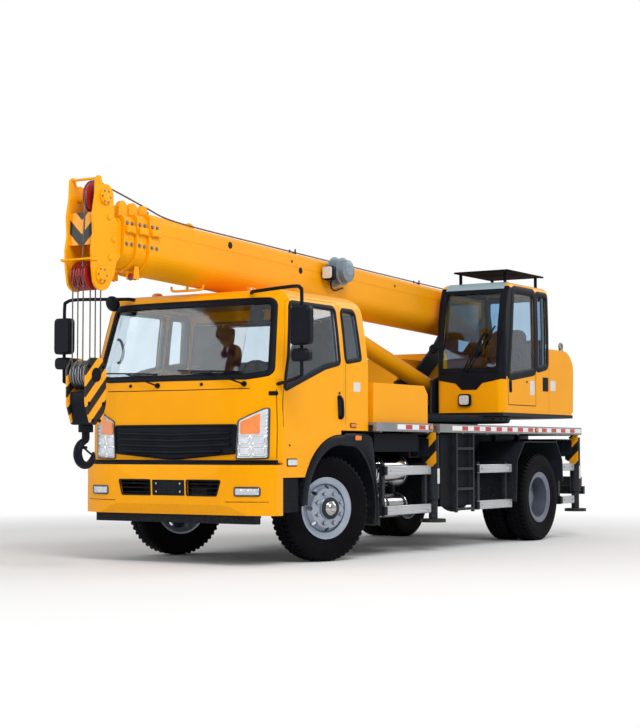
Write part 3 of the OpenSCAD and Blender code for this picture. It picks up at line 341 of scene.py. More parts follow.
def moulding(name, shells, body="chassis", stands_for=()):
    """Piece of moulded black plastic or black-coated steel."""
    return piece(name, shells, moulded_black, body, stands_for)


def guard_section(width, height):
    """Outline of the extrusion: an oblong with soft corners whose two faces dip in at two grooves."""
    h = height / 2
    groove = [(-4, 0), (-2, -2), (2, -2), (4, 0)]
    face = np.array([(-h + 9, 0), *((m + a, b) for m in (-h / 3, h / 3) for a, b in groove), (h - 9, 0)])
    right = np.stack([width / 2 + face[:, 1], face[:, 0]], -1)
    corner = box_outline(width, height, 8, 3)
    return np.vstack([corner[4:8], right, corner[8:16], -right, corner[:4]]) / 1000


def carried(path, profile, up=(0, 0, 1), scale=None):
    """Profile carried along a path: its first coordinate to the side of the path, its second towards up."""
    path = np.asarray(path, float)
    ahead = np.gradient(path, axis=0)
    ahead /= np.linalg.norm(ahead, axis=1, keepdims=True)
    side = np.cross(ahead, np.asarray(up, float))
    side /= np.linalg.norm(side, axis=1, keepdims=True)
    top = np.cross(side, ahead)
    size = np.ones(len(path)) if scale is None else np.asarray(scale, float)
    return path[:, None] + size[:, None, None] * (profile[:, :1] * side[:, None]
                                                  + profile[:, 1:] * top[:, None])


def hex_bolt(place, axis, width, height):
    """Hexagon bolt head on a round washer."""
    r = width * 0.577
    head = lathe([(r * 0.93, height), (r, height * 0.88), (r, height * 0.25)], place, axis, 6)
    washer = lathe([(r * 1.25, 0), (r * 1.25, height * 0.2), (r * 1.18, height * 0.25)], place, axis, 16)
    return [head, washer]


guard_bars, guard_caps, guard_bolts = [], [], []
guard_y, guard_levels = 1140, (867.5, 462.5)
for side, first_end, last_end in ((1, -1785, -5555), (-1, -1575, -5345)):
    y = side * guard_y
    for back, ahead in ((first_end, -800), (-3760, -2870), (last_end, -5140)):
        for z in guard_levels:
            ends = from_axle([(x, y, z) for x in (back, back + 4, ahead - 4, ahead)])
            guard_bars.append(skin(carried(ends, guard_section(32, 95), scale=[0.9, 1, 1, 0.9])))
            guard_caps.append(block((ahead - 62, y - 19, z - 50), (ahead + 5, y + 19, z + 50), 10))
            for x in (back + 60, ahead - 110):
                guard_bolts += hex_bolt(from_axle((x, y + side * 15.5, z)), (0, side, 0), 0.019, 0.010)
piece("guard_bars_dressed", guard_bars, extruded_bar, "chassis", ("guard_bars",))
moulding("guard_caps", guard_caps)
piece("guard_bolts", guard_bolts, polished_sheet, "chassis")

# Deck: chequer plate on cross ribs, edged with rolled channels that carry reflective tape and amber side
# lamps. Galvanised steel, dull grey, with dust between the raised lozenges of the tread.
def tread_plate():
    """Chequer plate: two families of short raised bars, crossed and staggered, on faces that look up."""
    made, tree, bsdf = opened(sprayed("deck_plate", (0.34, 0.35, 0.36), (0.26, 0.27, 0.28), 0.42, metal=0.6,
                                      dust=0.45, splash=0.2, top=1.4, grain=220.0, peel=0.05, patch=2.5))
    place = put(tree, "Mapping", {0: located(tree), 2: (0, 0, math.radians(45)), 3: (22, 22, 1)}).outputs[0]
    lattice = put(tree, "TexChecker", {0: place, 1: (1, 1, 1, 1), 2: (0, 0, 0, 1), 3: 1.0}).outputs[1]
    slim, cross = (put(tree, "TexWave", {0: place, 1: 0.5, 2: 0.0}, wave_type="BANDS",
                       bands_direction=way).outputs[1]
                   for way in "XY")
    raised = ramp(tree, between(tree, lattice, slim, cross), 0.72, 0.86)
    raised = sums(tree, "MULTIPLY", raised, ramp(tree, facing_up(tree), 0.9, 0.99))
    peel = bsdf.inputs["Normal"].links[0].from_socket
    tread = put(tree, "Bump", {"Strength": 0.8, "Distance": 0.003, "Height": raised, "Normal": peel})
    feed(tree, bsdf, {"Normal": tread.outputs[0]})
    return made


coat(tread_plate(), "deck")


def reflective(name, colour, shade):
    """Retroreflective tape: a honeycomb of cells with pale walls under a clear film."""
    made, tree, bsdf = opened(sprayed(name, colour, shade, 0.25, coat=0.6, dust=0.1, splash=0.1, patch=8.0))
    cells = put(tree, "TexVoronoi", {0: located(tree), "Scale": 240.0}, feature="DISTANCE_TO_EDGE").outputs[0]
    base = bsdf.inputs["Base Color"].links[0].from_socket
    pale = tuple(min(1.0, c * 1.25 + 0.02) for c in colour)
    feed(tree, bsdf, {"Base Color": between(tree, ramp(tree, cells, 0.10, 0.03), base, (*pale, 1))})
    return made


white_tape = reflective("white_tape", (0.80, 0.80, 0.80), (0.74, 0.74, 0.75))
red_tape = reflective("red_tape", (0.50, 0.015, 0.020), (0.42, 0.010, 0.015))
amber_lens = sprayed("amber_lens", (0.85, 0.22, 0.01), (0.75, 0.17, 0.01), 0.12, coat=1.0, dust=0.1,
                     splash=0.1, grain=90.0, peel=0.25, patch=20.0)
deck_half = 1200


def on_edge(x0, x1, z0, z1, side, low, thick, soft=2):
    """Flat strip on the deck's edge channel between two places along it, standing out from the channel's
    face."""
    place = ((x0 + x1) / 2, side * (deck_half + low), (z0 + z1) / 2)
    return plate(box_outline(abs(x1 - x0), z1 - z0, soft), place, (-side, 0, 0), (0, 0, 1), thick,
                 min(0.6, thick / 3))


white_strips, red_blocks, edge_lamps, lamp_seats = [], [], [], []
red_places = [-2490 - 282 * k for k in range(7)] + [-4566 - 279 * k for k in range(4)] + [-1227, -1510]
for side, _ in sides:
    white_strips += [on_edge(x0, x1, 1288, 1340, side, 0, 1.5) for x0, x1 in ((-5670, -2190), (-1738, -985))]
    red_blocks += [on_edge(x - 70, x + 70, 1291, 1337, side, 1.5, 0.8) for x in red_places]
    for x in (-4340, -1690):
        edge_lamps.append(on_edge(x - 34, x + 34, 1296, 1332, side, 5, 14, 14))
        lamp_seats.append(on_edge(x - 40, x + 40, 1291, 1337, side, 1.5, 6, 12))
piece("deck_tape_white", white_strips, white_tape, "chassis")
piece("deck_tape_red", red_blocks, red_tape, "chassis")
piece("deck_side_lamps", edge_lamps, amber_lens, "chassis")
moulding("deck_lamp_seats", lamp_seats)

# Tyres: radial truck tyres of black rubber, with lugs on the shoulders, three ribs between two grooves, and a
# rim guard rib and fine mould rings on the walls. The front pair stands turned with the parked steering.
tyre_rubber = sprayed("tyre_rubber", (0.003, 0.003, 0.0045), (0.005, 0.005, 0.007), 0.60, dust=0.06,
                      splash=0.08,
                      top=0.9, grain=420.0, peel=0.15, patch=5.0, shine=0.05, soil=(0.03, 0.028, 0.027, 1))
wheel_radius, wheelbase, king_pin, steer = 515, 4500, 790, math.radians(-21)
tyre_wall = np.array([(254.6, 92), (299, 101), (306, 106), (312, 112), (317, 115), (321, 115.5), (325, 114),
                      (342, 118),
                      (368, 123), (398, 126.3), (404, 127.6), (408, 126.8), (430, 128), (436, 127.8),
                      (440, 126.6),
                      (456, 126.8), (462, 125), (466, 126), (472, 124.6), (482, 122.5), (494, 117),
                      (505, 109)])
tread_line = np.array([100, 86, 70, 67, 60, 57, 34, 12, 9])


def tyre_shell(middle):
    """Tyre about its axle: wall and tread profile turned round; on the tread the radius drops into grooves,
    and between the lugs of each pitch, and the lug lines lean further round the further they are from the
    middle."""
    pitches, share = 54, np.array([0.0, 0.08, 0.52, 0.60])
    across = np.concatenate([tyre_wall[:, 1], tread_line, -tread_line[::-1], -tyre_wall[::-1, 1]])
    crown = np.full(2 * len(tread_line), float(wheel_radius))
    radius = np.concatenate([tyre_wall[:, 0], crown, tyre_wall[::-1, 0]])
    level = np.abs(across)
    tread = radius >= wheel_radius - 1
    ring_groove = tread & (((level >= 60) & (level <= 67)) | (level <= 9))
    lug_cut = np.where(tread & (level >= 70), 15.0, np.where(tread, 5.0, 0.0))
    lug_cut = np.where(~tread & (radius > 480), (radius - 480) * 0.5, lug_cut)
    turn = ((np.arange(pitches)[:, None] + share) / pitches * 2 * math.pi).ravel()
    low = np.tile(np.array([1.0, 0.0, 0.0, 1.0]), pitches)
    lean = np.where(tread, level / 100, 1.0) * 0.5 * (2 * math.pi / pitches) * np.sign(across)
    r = radius - np.maximum(np.where(ring_groove, 13.0, 0.0), low[:, None] * lug_cut)
    angle = turn[:, None] + lean
    y = np.broadcast_to(middle + across, r.shape)
    return np.stack([r * np.sin(angle), y, wheel_radius + r * np.cos(angle)], -1)


def steered(points, side):
    """Points set out on the straight left front wheel, turned about the king pin, mirrored first for the
    right."""
    x, y, z = np.moveaxis(np.asarray(points, float), -1, 0)
    y = (y - king_pin) * side
    c, s = math.cos(steer), math.sin(steer)
    return from_axle(np.stack([x * c - y * s, x * s + y * c + king_pin * side, z], -1))


def rear(points, side):
    """Points set out on a wheel at the front axle's place, carried back to the rear axle, mirrored for the
    right."""
    return from_axle(np.asarray(points, float) * (1, side, 1) + (-wheelbase, 0, 0))


# Wheels: pressed steel discs welded into rolled rims, sprayed silver-grey; the rear rims take a darker copy
# of the same paint as painted shade.
# They are held by hexagon nuts on long studs; the front hubs have a dark flange with bolts and a bright cap.
wheel_paint = sprayed("wheel_paint", (0.42, 0.48, 0.58), (0.34, 0.39, 0.48), 0.28, metal=0.6, dust=0.2,
                      splash=0.2, top=1.0, grain=300.0, peel=0.04, patch=4.0)
coat(wheel_paint, "rim_front_left", "rim_front_right")
# Rear rims: the front wheels' silver-grey darkened, as painted shade for rims set deep between the twin
# tyres.
wheel_painted_shade = sprayed("wheel_painted_shade", (0.19, 0.22, 0.29), (0.14, 0.165, 0.22), 0.34, metal=0.5, dust=0.25,
                      splash=0.3, top=1.0, grain=300.0, peel=0.04, patch=4.0)
coat(wheel_painted_shade, "rim_rear_left", "rim_rear_right")
nut_steel = sprayed("nut_steel", (0.30, 0.31, 0.33), (0.20, 0.20, 0.21), 0.38, metal=0.9, dust=0.3,
                    splash=0.4, top=1.0, grain=260.0, peel=0.1, patch=12.0)
hub_face = 1088.5
hub_ring = [(60, 13), (62, 18), (72, 16), (101, 6), (107, 3), (107, 0)]
hub_cap = [(68, 10), (68, 20), (58, 28), (48, 44), (34, 50), (30, 58), (18, 62), (4, 63)]


def on_wheel(radius, angle, y):
    """Point of a straight wheel at the front axle's place."""
    return radius * math.cos(angle), y, wheel_radius + radius * math.sin(angle)


def wheel_nuts(count, turn, ring, y):
    """Hexagon nuts on coned washers round a pitch circle of a straight wheel."""
    spots = [on_wheel(ring, a, y) for a in turn + np.arange(count) * 2 * math.pi / count]
    return [lathe(profile, spot, (0, 1, 0), around) for spot in spots for profile, around in (
        ([(24, 0), (24, 4), (19, 8)], 20), ([(20.5, 8), (20.5, 24), (18, 27), (12, 27)], 6))]


single, twins = ([skin(tyre_shell(y), wrapped=True) for y in places] for places in ((920,), (748, 1052)))
ring_bolts = [shell for a in np.arange(6) * math.pi / 3
              for shell in hex_bolt(on_wheel(88, a, hub_face), (0, 1, 0), 17, 8)]
hub_pieces = (("nuts", "front", wheel_nuts(8, math.radians(22.5), 150, 1061) + ring_bolts, nut_steel),
              ("hub_ring", "front", [lathe(hub_ring, (0, hub_face, wheel_radius), (0, 1, 0), 36)],
               chassis_paint),
              ("hub_cap", "front", [lathe(hub_cap, (0, hub_face, wheel_radius), (0, 1, 0), 36)],
               polished_sheet),
              ("nuts", "rear", wheel_nuts(10, 0, 143, 914.5), nut_steel))
for side, name in sides:
    set_in = {"front": lambda shells: [(steered(points, side), faces) for points, faces in shells],
              "rear": lambda shells: [(rear(points, side), faces) for points, faces in shells]}
    for end, tyres in (("front", single), ("rear", twins)):
        piece(f"tyre_{end}_{name}_tread", set_in[end](tyres), tyre_rubber, f"wheel_{end}_{name}",
              (f"tyre_{end}_{name}",), crease=42)
    for title, end, shells, material in hub_pieces:
        piece(f"{title}_{end}_{name}", set_in[end](shells), material, f"wheel_{end}_{name}")

# Outrigger beams and jacks: welded box beams that slide out of their boxes, with a hydraulic jack on each
# end. Mild steel in the chassis colour, with round feet that stand clear of the road.
corners = [(end, x, s, name) for end, x in (("front", -1790), ("rear", -5560)) for s, name in sides]
coat(chassis_paint, *(f"{part}_{end}_{name}" for part in ("beam", "jack") for end, _, _, name in corners))

# Striped plates on the jack housings: folded sheet, yellow with black bands, bolted to each beam's end.
# Blank label plates and a pair of hydraulic hoses are fixed to each jack.
def hazard(name, lean, step, start=0.0):
    """Yellow paint with black bands: where a slanting sum of the coordinates, less a start and split in
    steps, is high."""
    made, tree, bsdf = opened(sprayed(name, (0.95, 0.388, 0.007), (0.90, 0.358, 0.006), 0.34, coat=0.12,
                                      dust=0.1, splash=0.1, patch=3.0, shine=0.32))
    place = put(tree, "SeparateXYZ", {0: located(tree)})
    aside = put(tree, "Math", {0: place.outputs[1 if lean else 0]}, operation="ABSOLUTE").outputs[0]
    slant = sums(tree, "ADD", sums(tree, "MULTIPLY", aside, -1.0 if lean else 1.0), place.outputs[2])
    along = sums(tree, "DIVIDE", sums(tree, "SUBTRACT", slant, start), step)
    band = put(tree, "Math", {0: along}, operation="FRACT").outputs[0]
    base = bsdf.inputs["Base Color"].links[0].from_socket
    feed(tree, bsdf, {"Base Color": between(tree, ramp(tree, band, 0.49, 0.51), base,
                                            (0.012, 0.012, 0.012, 1))})
    return made


def mirrored(outline, side):
    """Outline as it is on the left, or for the right mirrored, with its points in reverse order."""
    return np.asarray(outline, float) if side > 0 else (np.asarray(outline, float) * (-1, 1))[::-1]


def eased(points, count):
    """Smooth curve through the points, a cubic from each to the next, sampled count times."""
    p = np.asarray(points, float)
    ends = np.vstack([2 * p[0] - p[1], p, 2 * p[-1] - p[-2]])
    t = np.linspace(0, len(p) - 1, count)
    i = np.minimum(t.astype(int), len(p) - 2)
    f = (t - i)[:, None]
    a, b, c, d = (ends[i + k] for k in range(4))
    return 0.5 * (2 * b + (c - a) * f + (2 * a - 5 * b + 4 * c - d) * f ** 2
                  + (3 * b - a - 3 * c + d) * f ** 3)


def circle(radius, count=24):
    """Points of a circle, counter-clockwise."""
    turn = np.linspace(0, 2 * math.pi, count, endpoint=False)
    return np.stack([np.cos(turn), np.sin(turn)], -1) * radius


def hose(points, radius, count=40, up=(0, 0, 1), around=12, at=from_axle):
    """Round hose or bar through the points: a circle carried along the smooth curve."""
    return skin(carried(eased(at(points), count), circle(radius / 1000, around), up))


chevron = hazard("chevron", True, 0.25)
striped = hazard("striped", False, 0.19)
label_sheet = sprayed("label_sheet", (0.74, 0.74, 0.73), (0.66, 0.66, 0.65), 0.35, coat=0.3, dust=0.2,
                      splash=0.2, patch=9.0)
stripe_shape = [(1015, 960), (1130, 898), (1196, 902), (1190, 1262), (1100, 1262), (1015, 1100)]
for end, box_x, s, name in corners:
    x, beam = box_x - s * 105, f"beam_{end}_{name}"
    sheet = plate(softened(mirrored(stripe_shape, s), 12, 3), (x + 67, 0, 0), (0, 1, 0), (0, 0, 1), 6, 1.5)
    piece(f"jack_stripes_{end}_{name}", [sheet], chevron, beam)
    label = plate(box_outline(50, 160, 6), (x, s * 1184.5, 800), (-s, 0, 0), (0, 0, 1), 2.5, 0.6)
    piece(f"jack_label_{end}_{name}", [label], label_sheet, beam)
    moulding(f"jack_hoses_{end}_{name}", [
        hose([(x + 40 * k, s * 1060, 1230), (x + 40 * k, s * 1120, 1262), (x + 30 * k, s * 1140, 1215)], 11,
             20, (1, 0, 0)) for k in (-1, 1)], beam)

# Truck cab shell and doors: pressed steel panels, sprayed golden yellow and lacquered. The doors hang on
# their front edges, with rubber lips in the shut lines and a pull handle near the rear edge.
crane_paint = sprayed("crane_paint", (0.95, 0.388, 0.003), (0.90, 0.358, 0.003), 0.34, coat=0.03, dust=0.06,
                      splash=0.22, top=0.9, grain=260.0, peel=0.025, patch=1.2, shine=0.34,
                      tint=(1.0, 0.55, 0.08))
coat(crane_paint, "cab_body", "cab_front", "door_left", "door_right", "cowl_box", "front_bumper")
coat(moulded_black, "front_trim", "front_fenders", "cab_dash")
seal_rubber = sprayed("seal_rubber", (0.0045, 0.0055, 0.009), (0.007, 0.008, 0.012), 0.50, dust=0.1,
                      splash=0.05, grain=700.0, peel=0.1, patch=9.0, shine=0.13, tint=(0.7, 0.85, 1.0))
cab_half, screen_foot, screen_lean = 1120, 1740, math.tan(math.radians(17.5))


def cab_nose(flat, out):
    """Point of the cab's front from its (y, z): the front line falls back with the fourth-and-a-half power of
    y, and above the sill it leans back with the windscreen."""
    y, z = flat[..., 0], flat[..., 1]
    back = 190 * np.abs(y / cab_half) ** 4.5 + np.maximum(z - screen_foot, 0) * screen_lean
    return from_axle(np.stack([1205 + out - back, y, z], -1))


def cab_side(side):
    """Face of one side of the cab from its (x, z): upright below the waist, then drawn in towards the
    roof."""
    def face(flat, out):
        x, z = flat[..., 0], flat[..., 1]
        y = np.interp(z, [700, 1950, 2200, 2481], [cab_half, cab_half, 1094, 1057])
        return from_axle(np.stack([x, side * (y + out), z], -1))
    return face


def rear_wall(x):
    """Upright rear wall of a cab from its (y, z)."""
    return lambda flat, out: from_axle(np.insert(flat, 0, x - out, -1))


def refined(outline, longest):
    """Outline with extra points along each side, none further apart than longest."""
    outline, points = np.asarray(outline, float), []
    for a, b in zip(outline, np.roll(outline, -1, 0)):
        steps = max(1, int(math.ceil(np.linalg.norm(b - a) / longest)))
        points += [a + (b - a) * k / steps for k in range(steps)]
    return np.array(points)


def draped(outline, face, low, high, edge=2.0, rings=7):
    """Skin over a curved panel: rings of the outline shrunk to its middle, laid on the face at two heights
    and closed."""
    outline = refined(outline, 60)
    middle = outline.mean(0)
    share = np.linspace(0.02, 1, rings)[:, None, None]
    flat = middle + (outline - middle) * share
    small = middle + (drawn_in(outline, edge) - middle) * share
    return skin(np.concatenate([face(flat, low), face(outline[None], high - edge), face(small[::-1], high)]))


def band_round(outline, face, section):
    """Closed band round an opening: each (inward, outward) of the section becomes a ring on the face."""
    outline = refined(outline, 50)
    return skin(np.stack([face(drawn_in(outline, a), b) for a, b in section]), wrapped=True)


def gasket(outline, face, width, height, sink=2.0, shift=0.0):
    """Rubber section round an opening: a low arch across the outline's line."""
    arch = [(shift - width / 2 * math.cos(a), height * math.sin(a)) for a in np.linspace(0, math.pi, 7)]
    return band_round(outline, face, [(shift - width / 2, -sink), *arch, (shift + width / 2, -sink)])


def inner_trim(outline, face, width, wall):
    """Folded edge inside a window opening: from the pane to the wall's inner face and over it by a width."""
    low, high = -wall - 9, 1 - wall
    return band_round(outline, face, ((0.2, -19), (2.5, -19), (2.5, low), (-width, low), (-width, high),
                                      (0.2, high)))


def bar_along(line, face, section, aside=(0, 1)):
    """Bar along a line of (across, up) points on a face: each (outward, aside) of its section becomes an
    edge."""
    return skin(np.stack([face(line + np.asarray(aside) * b, a) for a, b in section], 1))


def slit(points, face, width, height):
    """Narrow strip that follows a line of (across, up) points on a face, standing a little proud."""
    line = np.asarray(points, float)
    line = eased(line, 4 * len(line)) if len(line) > 2 else np.linspace(line[0], line[-1], 8)
    ahead = np.gradient(line, axis=0)
    ahead /= np.linalg.norm(ahead, axis=1, keepdims=True)
    half = width / 2
    section = ((-3, -half), (height, -0.9 * half), (height, 0.9 * half), (-3, half))
    return bar_along(line, face, section, np.stack([-ahead[:, 1], ahead[:, 0]], -1))


def level_line(reach, z, count):
    """Points at one height, evenly spaced from one side to the other."""
    return np.stack([np.linspace(*reach, count), np.full(count, float(z))], -1)


cab_rear = rear_wall(cab_back)
screen_line = softened([(-1010, 1800), (-820, 1770), (820, 1770), (1010, 1800), (935, 2440), (900, 2468),
                        (-900, 2468), (-935, 2440)], 40)
door_line = softened([(24, 1930), (280, 1880), (970, 1650), (962, 1740), (805, 2430), (775, 2452), (50, 2452),
                      (24, 2425)], 25)
side_line = softened([(-385, 1985), (-130, 1950), (-110, 1970), (-110, 2420), (-135, 2445), (-320, 2445),
                      (-350, 2420)], 20, 3)
rear_line = box_outline(1200, 400, 50) + (0, 2180)
cab_seals = [gasket(screen_line, cab_nose, 60, 9, shift=-12), gasket(rear_line, cab_rear, 46, 9, shift=-8)]
cab_seals += [gasket(side_line, cab_side(s), 46, 8, shift=-8) for s, _ in sides]
piece("cab_window_seals", cab_seals, seal_rubber, "chassis")
shut_front = [(1004, 1290), (1014, 1500), (1004, 1650), (985, 1740), (930, 1990), (860, 2290), (815, 2480)]
grip = np.array([(-5, 1395, 2), (0, 1410, 30), (18, 1560, 34), (25, 1590, 4)])
cab_lines = []
for s, name in sides:
    face, door = cab_side(s), f"door_{name}"
    piece(f"{door}_seal", [gasket(door_line, face, 48, 8, shift=-9)], seal_rubber, door)
    pull = carried(eased(face(grip[:, :2], grip[:, 2]), 24), box_outline(30, 20, 8, 3) / 1000, (0, s, 0))
    moulding(f"{door}_handle", [
        draped(softened([(-45, 1375), (40, 1375), (60, 1610), (-25, 1610)], 22), face, -2, 4), skin(pull),
        turned([(13, -2), (13, 6), (10, 8), (3, 8)], face(np.array((20, 1630.0)), 0), (0, s, 0), 20,
               at=np.asarray)],
        door)
    cab_lines += [slit(shut_front, face, 9, 0.6),
                  slit([(-100, 1330), (-100, 1900), (-100, 2330)], face, 7, 0.4)]
cab_lines.append(slit([(-840, 1647), (-420, 1643), (0, 1642), (420, 1643), (840, 1647)], cab_nose, 8, 0.8))
cab_lines += [slit([(y * 1075, 1000), (y * 1078, 1300), (y * 1070, 1640)], cab_nose, 6, 0.4) for y in (-1, 1)]
piece("cab_shut_lines", cab_lines, seal_rubber, "chassis")

# Grille and front trim: moulded black slats in a frame, with a fine mesh behind, clipped into the nose.
# The blank plate and the air slots in the bumper are moulded too.
grille_back = softened([(-690, 1058), (-70, 1006), (70, 1006), (690, 1058), (698, 1298), (-698, 1298)], 12, 3)
grille_edge = softened([(-700, 1052), (-70, 1000), (70, 1000), (700, 1052), (708, 1305), (-708, 1305)], 14, 3)
slats = [draped(grille_back, cab_nose, 2, 8)]
for z, reach in ((1062, 560), (1118, 660), (1174, 660), (1230, 660)):
    line = level_line((-reach, reach), z + 12, 25)
    line[:, 1] -= (1 - np.abs(line[:, 0]) / 700) * 18
    slats.append(bar_along(line, cab_nose, ((6, -19), (22, -16), (30, -6), (28, 6), (6, 17))))
moulding("grille_slats", slats)
moulding("grille_frame", [gasket(grille_edge, cab_nose, 26, 20)])


def bumper_face(flat, out):
    """Front of the bumper from its (y, z): a rolled profile in height that falls back at the corners like the
    cab's nose."""
    y, z = flat[..., 0], flat[..., 1]
    profile = np.interp(z, [475, 570, 800, 940], [1228, 1271, 1283, 1269])
    return from_axle(np.stack([np.minimum(profile, 1283 - 170 * np.abs(y / cab_half) ** 4.5) + out, y, z],
                              -1))


bumper_trim = []
for s, _ in sides:
    slot = softened(mirrored([(215, 655), (555, 655), (595, 795), (215, 795)], s), 14, 3)
    bumper_trim.append(gasket(slot, bumper_face, 16, 5))
    for z in (684, 725, 766):
        line = level_line((225, 545 + (z - 655) * 0.28), z, 12) * (s, 1)
        bumper_trim.append(bar_along(line, bumper_face, ((-34, -4), (-8, -9), (-4, 0), (-34, 5))))
    bumper_trim.append(slit(np.array([(650, 600), (1060, 602)]) * (s, 1), bumper_face, 6, 0.5))
bumper_trim.append(draped(box_outline(370, 138, 10) + (0, 724), bumper_face, -6, 4))
bumper_trim.append(draped([(-1085, 938), (1085, 938), (1085, 984), (-1085, 984)], cab_nose, -20, 40, rings=5))
moulding("bumper_trim", bumper_trim)
plate_bolts = [b for y in (-140, 140) for z in (686, 762)
               for b in hex_bolt(bumper_face(np.array([y, z], float), 4), (1, 0, 0), 0.013, 0.006)]
piece("plate_bolts", plate_bolts, polished_sheet, "chassis")

# Lamps: moulded clear covers over bright reflectors in black bezels, with an amber indicator above. The
# covers are pressed into the corners of the nose and the fog lamps into the bumper; tail lamps sit on the
# tail bar.
bezel = sprayed("lamp_bezel", (0.05, 0.05, 0.055), (0.03, 0.03, 0.035), 0.3, coat=0.4, dust=0.05, splash=0.05,
                grain=400.0, patch=9.0)
mirror_bowl = sprayed("mirror_bowl", (0.86, 0.87, 0.88), (0.78, 0.79, 0.80), 0.08, metal=1.0, dust=0.03,
                      splash=0.03, grain=120.0, peel=0.2, patch=14.0)
red_lens = sprayed("red_lens", (0.42, 0.006, 0.008), (0.34, 0.004, 0.006), 0.12, coat=1.0, dust=0.1,
                   splash=0.1, grain=90.0, peel=0.25, patch=20.0)


def mixed(tree, mask, first, second):
    """Sends the first shader to the surface, and the second where the mask is 1."""
    both = put(tree, "MixShader", {0: mask, 1: first.outputs[0], 2: second.outputs[0]})
    tree.links.new(both.outputs[0], tree.nodes["Material Output"].inputs[0])


def see_through(tree, bsdf, index, shade):
    """Lets light through by refraction, and lets a shadow ray pass straight through, tinted by a shade."""
    feed(tree, bsdf, {"Transmission Weight": 1.0, "IOR": index})
    mixed(tree, put(tree, "LightPath").outputs["Is Shadow Ray"], bsdf,
          put(tree, "BsdfTransparent", {0: (*shade, 1)}))


def clear_cover():
    """Clear moulded cover: sees through except at its fluted bands, which ripple what lies behind."""
    made, tree, bsdf = opened(bpy.data.materials.new("clear_cover"))
    place = located(tree)
    flutes = put(tree, "TexWave", {0: place, 1: 60.0}, wave_type="BANDS", bands_direction="Y").outputs[1]
    film = noise(tree, place, 14.0, 5.0)
    feed(tree, bsdf, {
        "Normal": put(tree, "Bump", {"Strength": 0.12, "Distance": 0.002, "Height": flutes}).outputs[0],
        "Roughness": ramp(tree, film, 0.4, 0.8, 0.02, 0.12),
        "Base Color": between(tree, film, (0.97, 0.98, 1.0, 1), (0.92, 0.94, 0.97, 1))})
    see_through(tree, bsdf, 1.25, (0.95, 0.96, 0.97))
    return made


def corners_of(low_x, high_x, low_z, high_z):
    """Corners of an upright rectangle on a face, counter-clockwise."""
    return [(low_x, low_z), (high_x, low_z), (high_x, high_z), (low_x, high_z)]


covers, bezels, bowls, ambers, tails = [], [], [], [], []
roof_lamp = [(52, 0), (54, 6), (54, 14), (48, 28), (30, 38), (4, 41)]
for s, _ in sides:
    lamp_line = softened(mirrored([(715, 998), (1012, 1004), (1020, 1462), (988, 1462), (735, 1350)], s), 18,
                         3)
    bowls.append(draped(drawn_in(lamp_line, 4), cab_nose, -1, 2))
    bezels.append(gasket(lamp_line, cab_nose, 12, 17))
    covers.append(draped(drawn_in(lamp_line, 6), cab_nose, 17, 21, edge=1.5))
    for box in ((735, 850, 1025, 1110), (868, 990, 1025, 1110), (742, 850, 1125, 1208),
                (868, 990, 1125, 1208)):
        bowl = softened(mirrored(corners_of(*box), s), 24)
        bowls += [gasket(bowl, cab_nose, 22, 9, sink=0), draped(drawn_in(bowl, 12), cab_nose, 3, 6)]
    for z in range(1236, 1440, 34):
        bowls.append(draped(softened(mirrored(corners_of(958, 1000, z - 12, z + 12), s), 8, 3), cab_nose, 3,
                            10))
    ambers.append(draped(softened(mirrored([(752, 1226), (936, 1226), (942, 1418), (758, 1336)], s), 16, 3),
                         cab_nose, 3, 12))
    fog = box_outline(240, 80, 20) + (s * 865, 695)
    bezels += [draped(fog, bumper_face, -3, 3), gasket(fog, bumper_face, 12, 9)]
    covers.append(draped(drawn_in(fog, 6), bumper_face, 8, 11, edge=1))
    bowls.append(draped(drawn_in(fog, 10), bumper_face, 2, 5))
    bowls += [draped(circle(24, 20) + (s * y, 695), bumper_face, 2, 6) for y in (800, 865, 930)]
    for kind, y0, y1 in ((tails, 820, 915), (ambers, 920, 1015), (tails, 1020, 1118)):
        kind.append(plate(box_outline(y1 - y0, 116, 12), (-5862, s * (y0 + y1) / 2, 680), (0, -1, 0),
                          (0, 0, 1), 30, 6))
    bezels.append(block((-5863, s * 815, 618), (-5845, s * 1122, 742), 6))
    ambers.append(turned(roof_lamp, (735, s * 560, 2592), (0, 0, 1), 28))
piece("lamp_covers", covers, clear_cover(), "chassis", ("lamps",))
piece("lamp_bezels", bezels, bezel, "chassis")
piece("lamp_bowls", bowls, mirror_bowl, "chassis")
piece("indicator_lenses", ambers, amber_lens, "chassis")
piece("tail_lenses", tails, red_lens, "chassis")

# Mirrors: moulded black shells on bent steel tube from the roof's edge to the front pillar.
# The glass is set in their rear faces; a small round kerb mirror hangs from the right end of the roof's edge.
mirror_shells, mirror_glass = [], []
mirror_tube = [(880, 700, 2530), (935, 716, 2562), (1000, 860, 2566), (1090, 1290, 2576), (1136, 1390, 2552),
               (1145, 1410, 2500), (1145, 1410, 2200), (1145, 1410, 1810), (1138, 1395, 1752),
               (1095, 1250, 1712), (1030, 1060, 1684)]
tube_foot = [(42, -20), (42, 6), (34, 16), (22, 24), (20, 44), (16, 48)]
for s, _ in sides:
    mirror_shells.append(hose(np.array(mirror_tube) * (1, s, 1), 17, 90, (0.85, -0.51 * s, 0), 14))
    mirror_shells.append(turned(tube_foot, (880, s * 700, 2530), (0.8, 0, 0.6), 24))
    for y0, y1, z0, z1 in ((1300, 1520, 2030, 2390), (1310, 1510, 1880, 1998)):
        head, y, z = box_outline(y1 - y0, z1 - z0, 50, 6), s * (y0 + y1) / 2, (z0 + z1) / 2
        mirror_shells.append(plate(head, (1097, y, z), (0, 1, 0), (0, 0, 1), 98, 22))
        mirror_glass.append(plate(drawn_in(head, 30), (1098, y, z), (0, -1, 0), (0, 0, 1), 4, 1))
        mirror_shells += [block((1120, s * 1410 - 24, clamp - 14), (1170, s * 1410 + 24, clamp + 14), 6)
                          for clamp in (z0 + 40, z1 - 40)]
kerb_place, kerb_way = (1012, -880, 2530), (0.92, -0.1, -0.38)
kerb_bowl = [(20, -4), (62, 0), (78, 14), (80, 30), (70, 52), (46, 68), (10, 74)]
